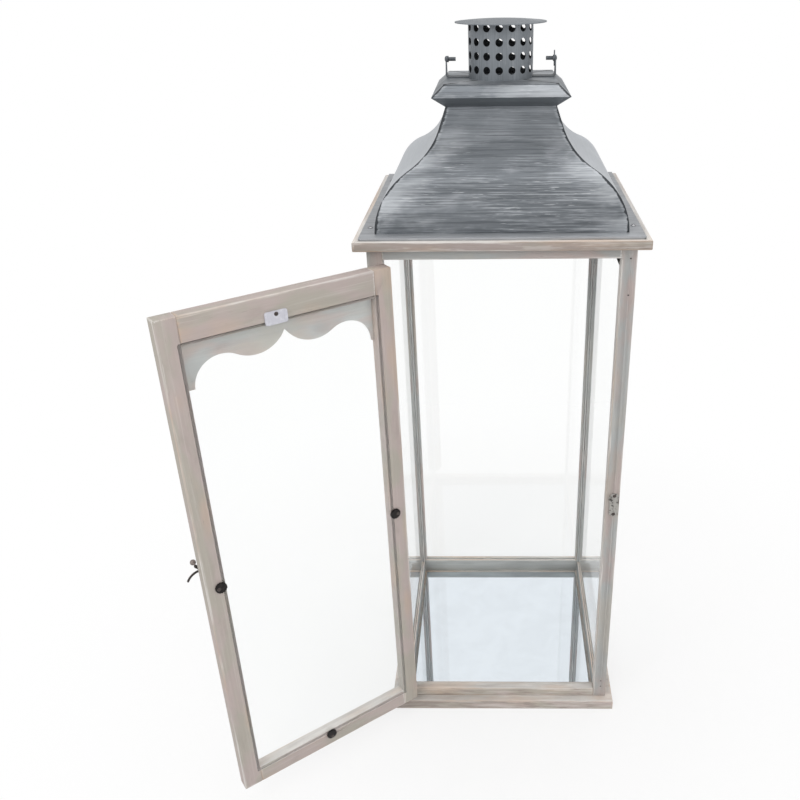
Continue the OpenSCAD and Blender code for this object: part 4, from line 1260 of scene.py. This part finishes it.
class LANTERN_OT_latch(LanternOperator, bpy.types.Operator):
    """Makes the latch plate, the hook with its knob, and the keeper"""

    bl_idname = "lantern.latch"
    bl_label = "Latch and Keeper"

    def execute(self, context):
        dark = context.scene.lantern_metal.dark
        iron = fitting_material("Dark brown iron", dark, rgba(dark, 2.4), 0.38, 0.35)
        knob = fitting_material("Rubbed knob", (0.27, 0.225, 0.205), rgba(dark, 2.0), 0.4, 0.3)
        worn = fitting_material(
            "Worn keeper", (0.40, 0.385, 0.36), rgba(dark, 0.6), 0.45, 0.2, amount=0.95
        )
        pieces = (
            ("latch_plate", DOOR, iron),
            ("latch_hook", HOOK, iron),
            ("latch_knob", HOOK, knob),
            ("keeper_plate", BODY, worn),
        )
        fittings(pieces, 0.25 * MM, least=1.2 * MM)
        return {"FINISHED"}


class LANTERN_OT_screws(LanternOperator, bpy.types.Operator):
    """Makes every screw with one geometry node tree, and the brad nails from their solids"""

    bl_idname = "lantern.screws"
    bl_label = "Screws"

    def execute(self, context):
        dark = context.scene.lantern_metal.dark
        steel = plain_steel()
        brown = fitting_material("Dark screw", rgba(dark, 1.6), rgba(dark, 3.0), 0.4, 0.4)
        # Node, body, the way the heads face, height of the head, radius of the shank, material.
        rows = (
            ("roof_screws", BODY, AXIS_Z, 1.8 * MM, 1.6 * MM, steel),
            ("hinge_frame_screws", BODY, AXIS_X, 0.35 * MM, 1.1 * MM, steel),
            ("hinge_door_screws", DOOR, -DOOR_ALONG, 0.35 * MM, 1.1 * MM, steel),
            ("keeper_screws", BODY, -AXIS_Y, 1.2 * MM, 1.1 * MM, brown),
            ("latch_plate_screws", DOOR, -DOOR_INTO, 1.2 * MM, 1.1 * MM, brown),
            ("glass_holder_screws", DOOR, DOOR_INTO, 1.2 * MM, 1.1 * MM, brown),
        )
        for seed, row in enumerate(rows, 1):
            screws(*row, seed)
        nail = fitting_material("Nail head", (0.05, 0.045, 0.042), (0.12, 0.11, 0.10), 0.6, 0.2)
        place_piece(shaped("brad_nails"), BODY, "brad_nails", nail)
        return {"FINISHED"}


# ------------ stage

# The photo's camera: place in metres, angles in degrees, and shift as a share of the width.
CAMERA_PLACE = (-0.00613, -1.11513, 1.02146)
CAMERA_PITCH = 27.36
CAMERA_YAW = 1.32
CAMERA_ROLL = 0.81
CAMERA_SHIFT = -0.0992
SENSOR_WIDTH = 36.0
FLOOR_HALF = 14.0
FLOOR_DROP = 0.2 * MM
# The floor's own glow grows over these distances from the middle, and keeps the shadow near it.
GLOW_FROM, GLOW_TO = 0.15, 0.85
GLOW_NEAR = 0.72
# Name, place, what it points at, side of its square, and share of the key lamp's power.
LAMPS = (
    ("Key", (-1.3, -2.1, 2.2), (0, 0, 0.5), 1.6, 1.0),
    ("Fill", (1.9, -1.6, 1.5), (0, 0, 0.5), 1.8, 0.45),
    ("Top", (0.2, 0.4, 2.7), (0, 0, 0.8), 1.6, 0.55),
)


def floor_material():
    """Plain pale floor that stays white in the picture and keeps the object's shadow."""
    material, tree, shader = start_material("Pale floor")
    place = object_place(tree)
    grain = noise(tree, place, (3.0, 3.0, 3.0), 3.0, 0.5)
    paint = mix(tree, grain, (0.90, 0.90, 0.90, 1.0), (0.92, 0.92, 0.92, 1.0))
    feed(tree, shader, {"Base Color": paint, "Roughness": 0.9})
    glow = add(tree, "ShaderNodeEmission", {"Strength": 1.0}).outputs["Emission"]
    ray = add(tree, "ShaderNodeLightPath").outputs
    seen = calc(tree, "MAXIMUM", ray["Is Camera Ray"], ray["Is Glossy Ray"])
    seen = calc(tree, "MAXIMUM", seen, ray["Is Transmission Ray"])
    distance = vector_calc(tree, "LENGTH", place, output="Value")
    share = times(tree, seen, band(tree, distance, GLOW_FROM, GLOW_TO, GLOW_NEAR))
    mixed_shaders(tree, share, shader.outputs["BSDF"], glow)
    return material


def light_world(world, strength):
    """White surroundings: plain white where they are seen, and lit at strength elsewhere."""
    world.use_nodes = True
    tree = world.node_tree
    ray = add(tree, "ShaderNodeLightPath").outputs
    seen = calc(tree, "MAXIMUM", ray["Is Camera Ray"], ray["Is Transmission Ray"])
    shown = add(tree, "ShaderNodeMix", {0: seen, 2: strength, 3: 1.0}, data_type="FLOAT")
    feed(tree, tree.nodes["Background"], {"Color": WHITE, "Strength": shown.outputs[0]})


def photo_camera(focal):
    """The camera that the photo was taken with, from its pitch, yaw and roll."""
    pitch, yaw, roll = (math.radians(v) for v in (CAMERA_PITCH, CAMERA_YAW, CAMERA_ROLL))
    ahead = Vector((0.0, math.cos(pitch), -math.sin(pitch)))
    turn = Matrix.Rotation(yaw, 3, "Z")
    ahead, level, below = turn @ ahead, turn @ AXIS_X, turn @ ahead.cross(AXIS_X)
    right = math.cos(roll) * level + math.sin(roll) * below
    down = -math.sin(roll) * level + math.cos(roll) * below
    data = bpy.data.cameras.new("Camera")
    data.sensor_width = SENSOR_WIDTH
    data.lens = focal
    data.shift_x = CAMERA_SHIFT
    data.dof.use_dof = False
    camera = new_object("Camera", data)
    pose = Matrix((right, -down, -ahead)).transposed().to_4x4()
    pose.translation = CAMERA_PLACE
    camera.matrix_world = pose
    bpy.context.scene.camera = camera


def area_lamp(name, place, target, side, power):
    data = bpy.data.lights.new(name, "AREA")
    data.shape = "RECTANGLE"
    data.size = data.size_y = side
    data.energy = power
    lamp = new_object(name, data)
    lamp.location = place
    lamp.rotation_euler = (Vector(target) - Vector(place)).to_track_quat("-Z", "Y").to_euler()


class LANTERN_OT_stage(LanternOperator, bpy.types.Operator):
    """Makes the pale floor, the soft studio light and the camera"""

    bl_idname = "lantern.stage"
    bl_label = "Stage"

    def execute(self, context):
        stage = context.scene.lantern_stage
        mesh = bpy.data.meshes.new("floor")
        half = FLOOR_HALF
        corners = ((-half, -half, 0), (half, -half, 0), (half, half, 0), (-half, half, 0))
        mesh.from_pydata(corners, [], [(0, 1, 2, 3)])
        floor = new_object("floor", mesh)
        floor.location.z = -FLOOR_DROP
        mesh.materials.append(floor_material())
        context.scene.world = bpy.data.worlds.new("Studio")
        light_world(context.scene.world, stage.world)
        for name, place, target, side, share in LAMPS:
            area_lamp(name, place, target, side, stage.key * share)
        photo_camera(stage.focal)
        context.scene.view_settings.view_transform = "Standard"
        return {"FINISHED"}


# ------------ panel and registration


class LANTERN_PT_panel(bpy.types.Panel):
    """Lists the lantern's pieces and settings"""

    bl_idname = "LANTERN_PT_panel"
    bl_label = "Lantern"
    bl_space_type = "VIEW_3D"
    bl_region_type = "UI"
    bl_category = "Lantern"

    def draw(self, context):
        layout = self.layout
        for holder in SETTINGS:
            group = getattr(context.scene, holder)
            box = layout.box()
            for name in group.bl_rna.properties.keys():
                if name not in ("rna_type", "name"):
                    box.prop(group, name)
        for operator in OPERATORS:
            layout.operator(operator.bl_idname)


SETTINGS = {
    "lantern_wood": LanternWood,
    "lantern_metal": LanternMetal,
    "lantern_glass": LanternGlass,
    "lantern_screws": LanternScrews,
    "lantern_stage": LanternStage,
}
OPERATORS = (
    LANTERN_OT_base,
    LANTERN_OT_posts,
    LANTERN_OT_rails,
    LANTERN_OT_top_boards,
    LANTERN_OT_panes,
    LANTERN_OT_floor_mirror,
    LANTERN_OT_roof,
    LANTERN_OT_flange,
    LANTERN_OT_chimney,
    LANTERN_OT_handle_strap,
    LANTERN_OT_door_frame,
    LANTERN_OT_glass_holders,
    LANTERN_OT_hinges,
    LANTERN_OT_latch,
    LANTERN_OT_screws,
    LANTERN_OT_stage,
)


def register():
    for group in SETTINGS.values():
        bpy.utils.register_class(group)
    for operator in OPERATORS:
        bpy.utils.register_class(operator)
    bpy.utils.register_class(LANTERN_PT_panel)
    for holder, group in SETTINGS.items():
        setattr(bpy.types.Scene, holder, bpy.props.PointerProperty(type=group))


def unregister():
    for holder in SETTINGS:
        delattr(bpy.types.Scene, holder)
    bpy.utils.unregister_class(LANTERN_PT_panel)
    for operator in reversed(OPERATORS):
        bpy.utils.unregister_class(operator)
    for group in SETTINGS.values():
        bpy.utils.unregister_class(group)


def main():
    """Builds everything in order."""
    register()
    for operator in OPERATORS:
        area, name = operator.bl_idname.split(".")
        getattr(getattr(bpy.ops, area), name)()


if __name__ == "__main__":
    main()
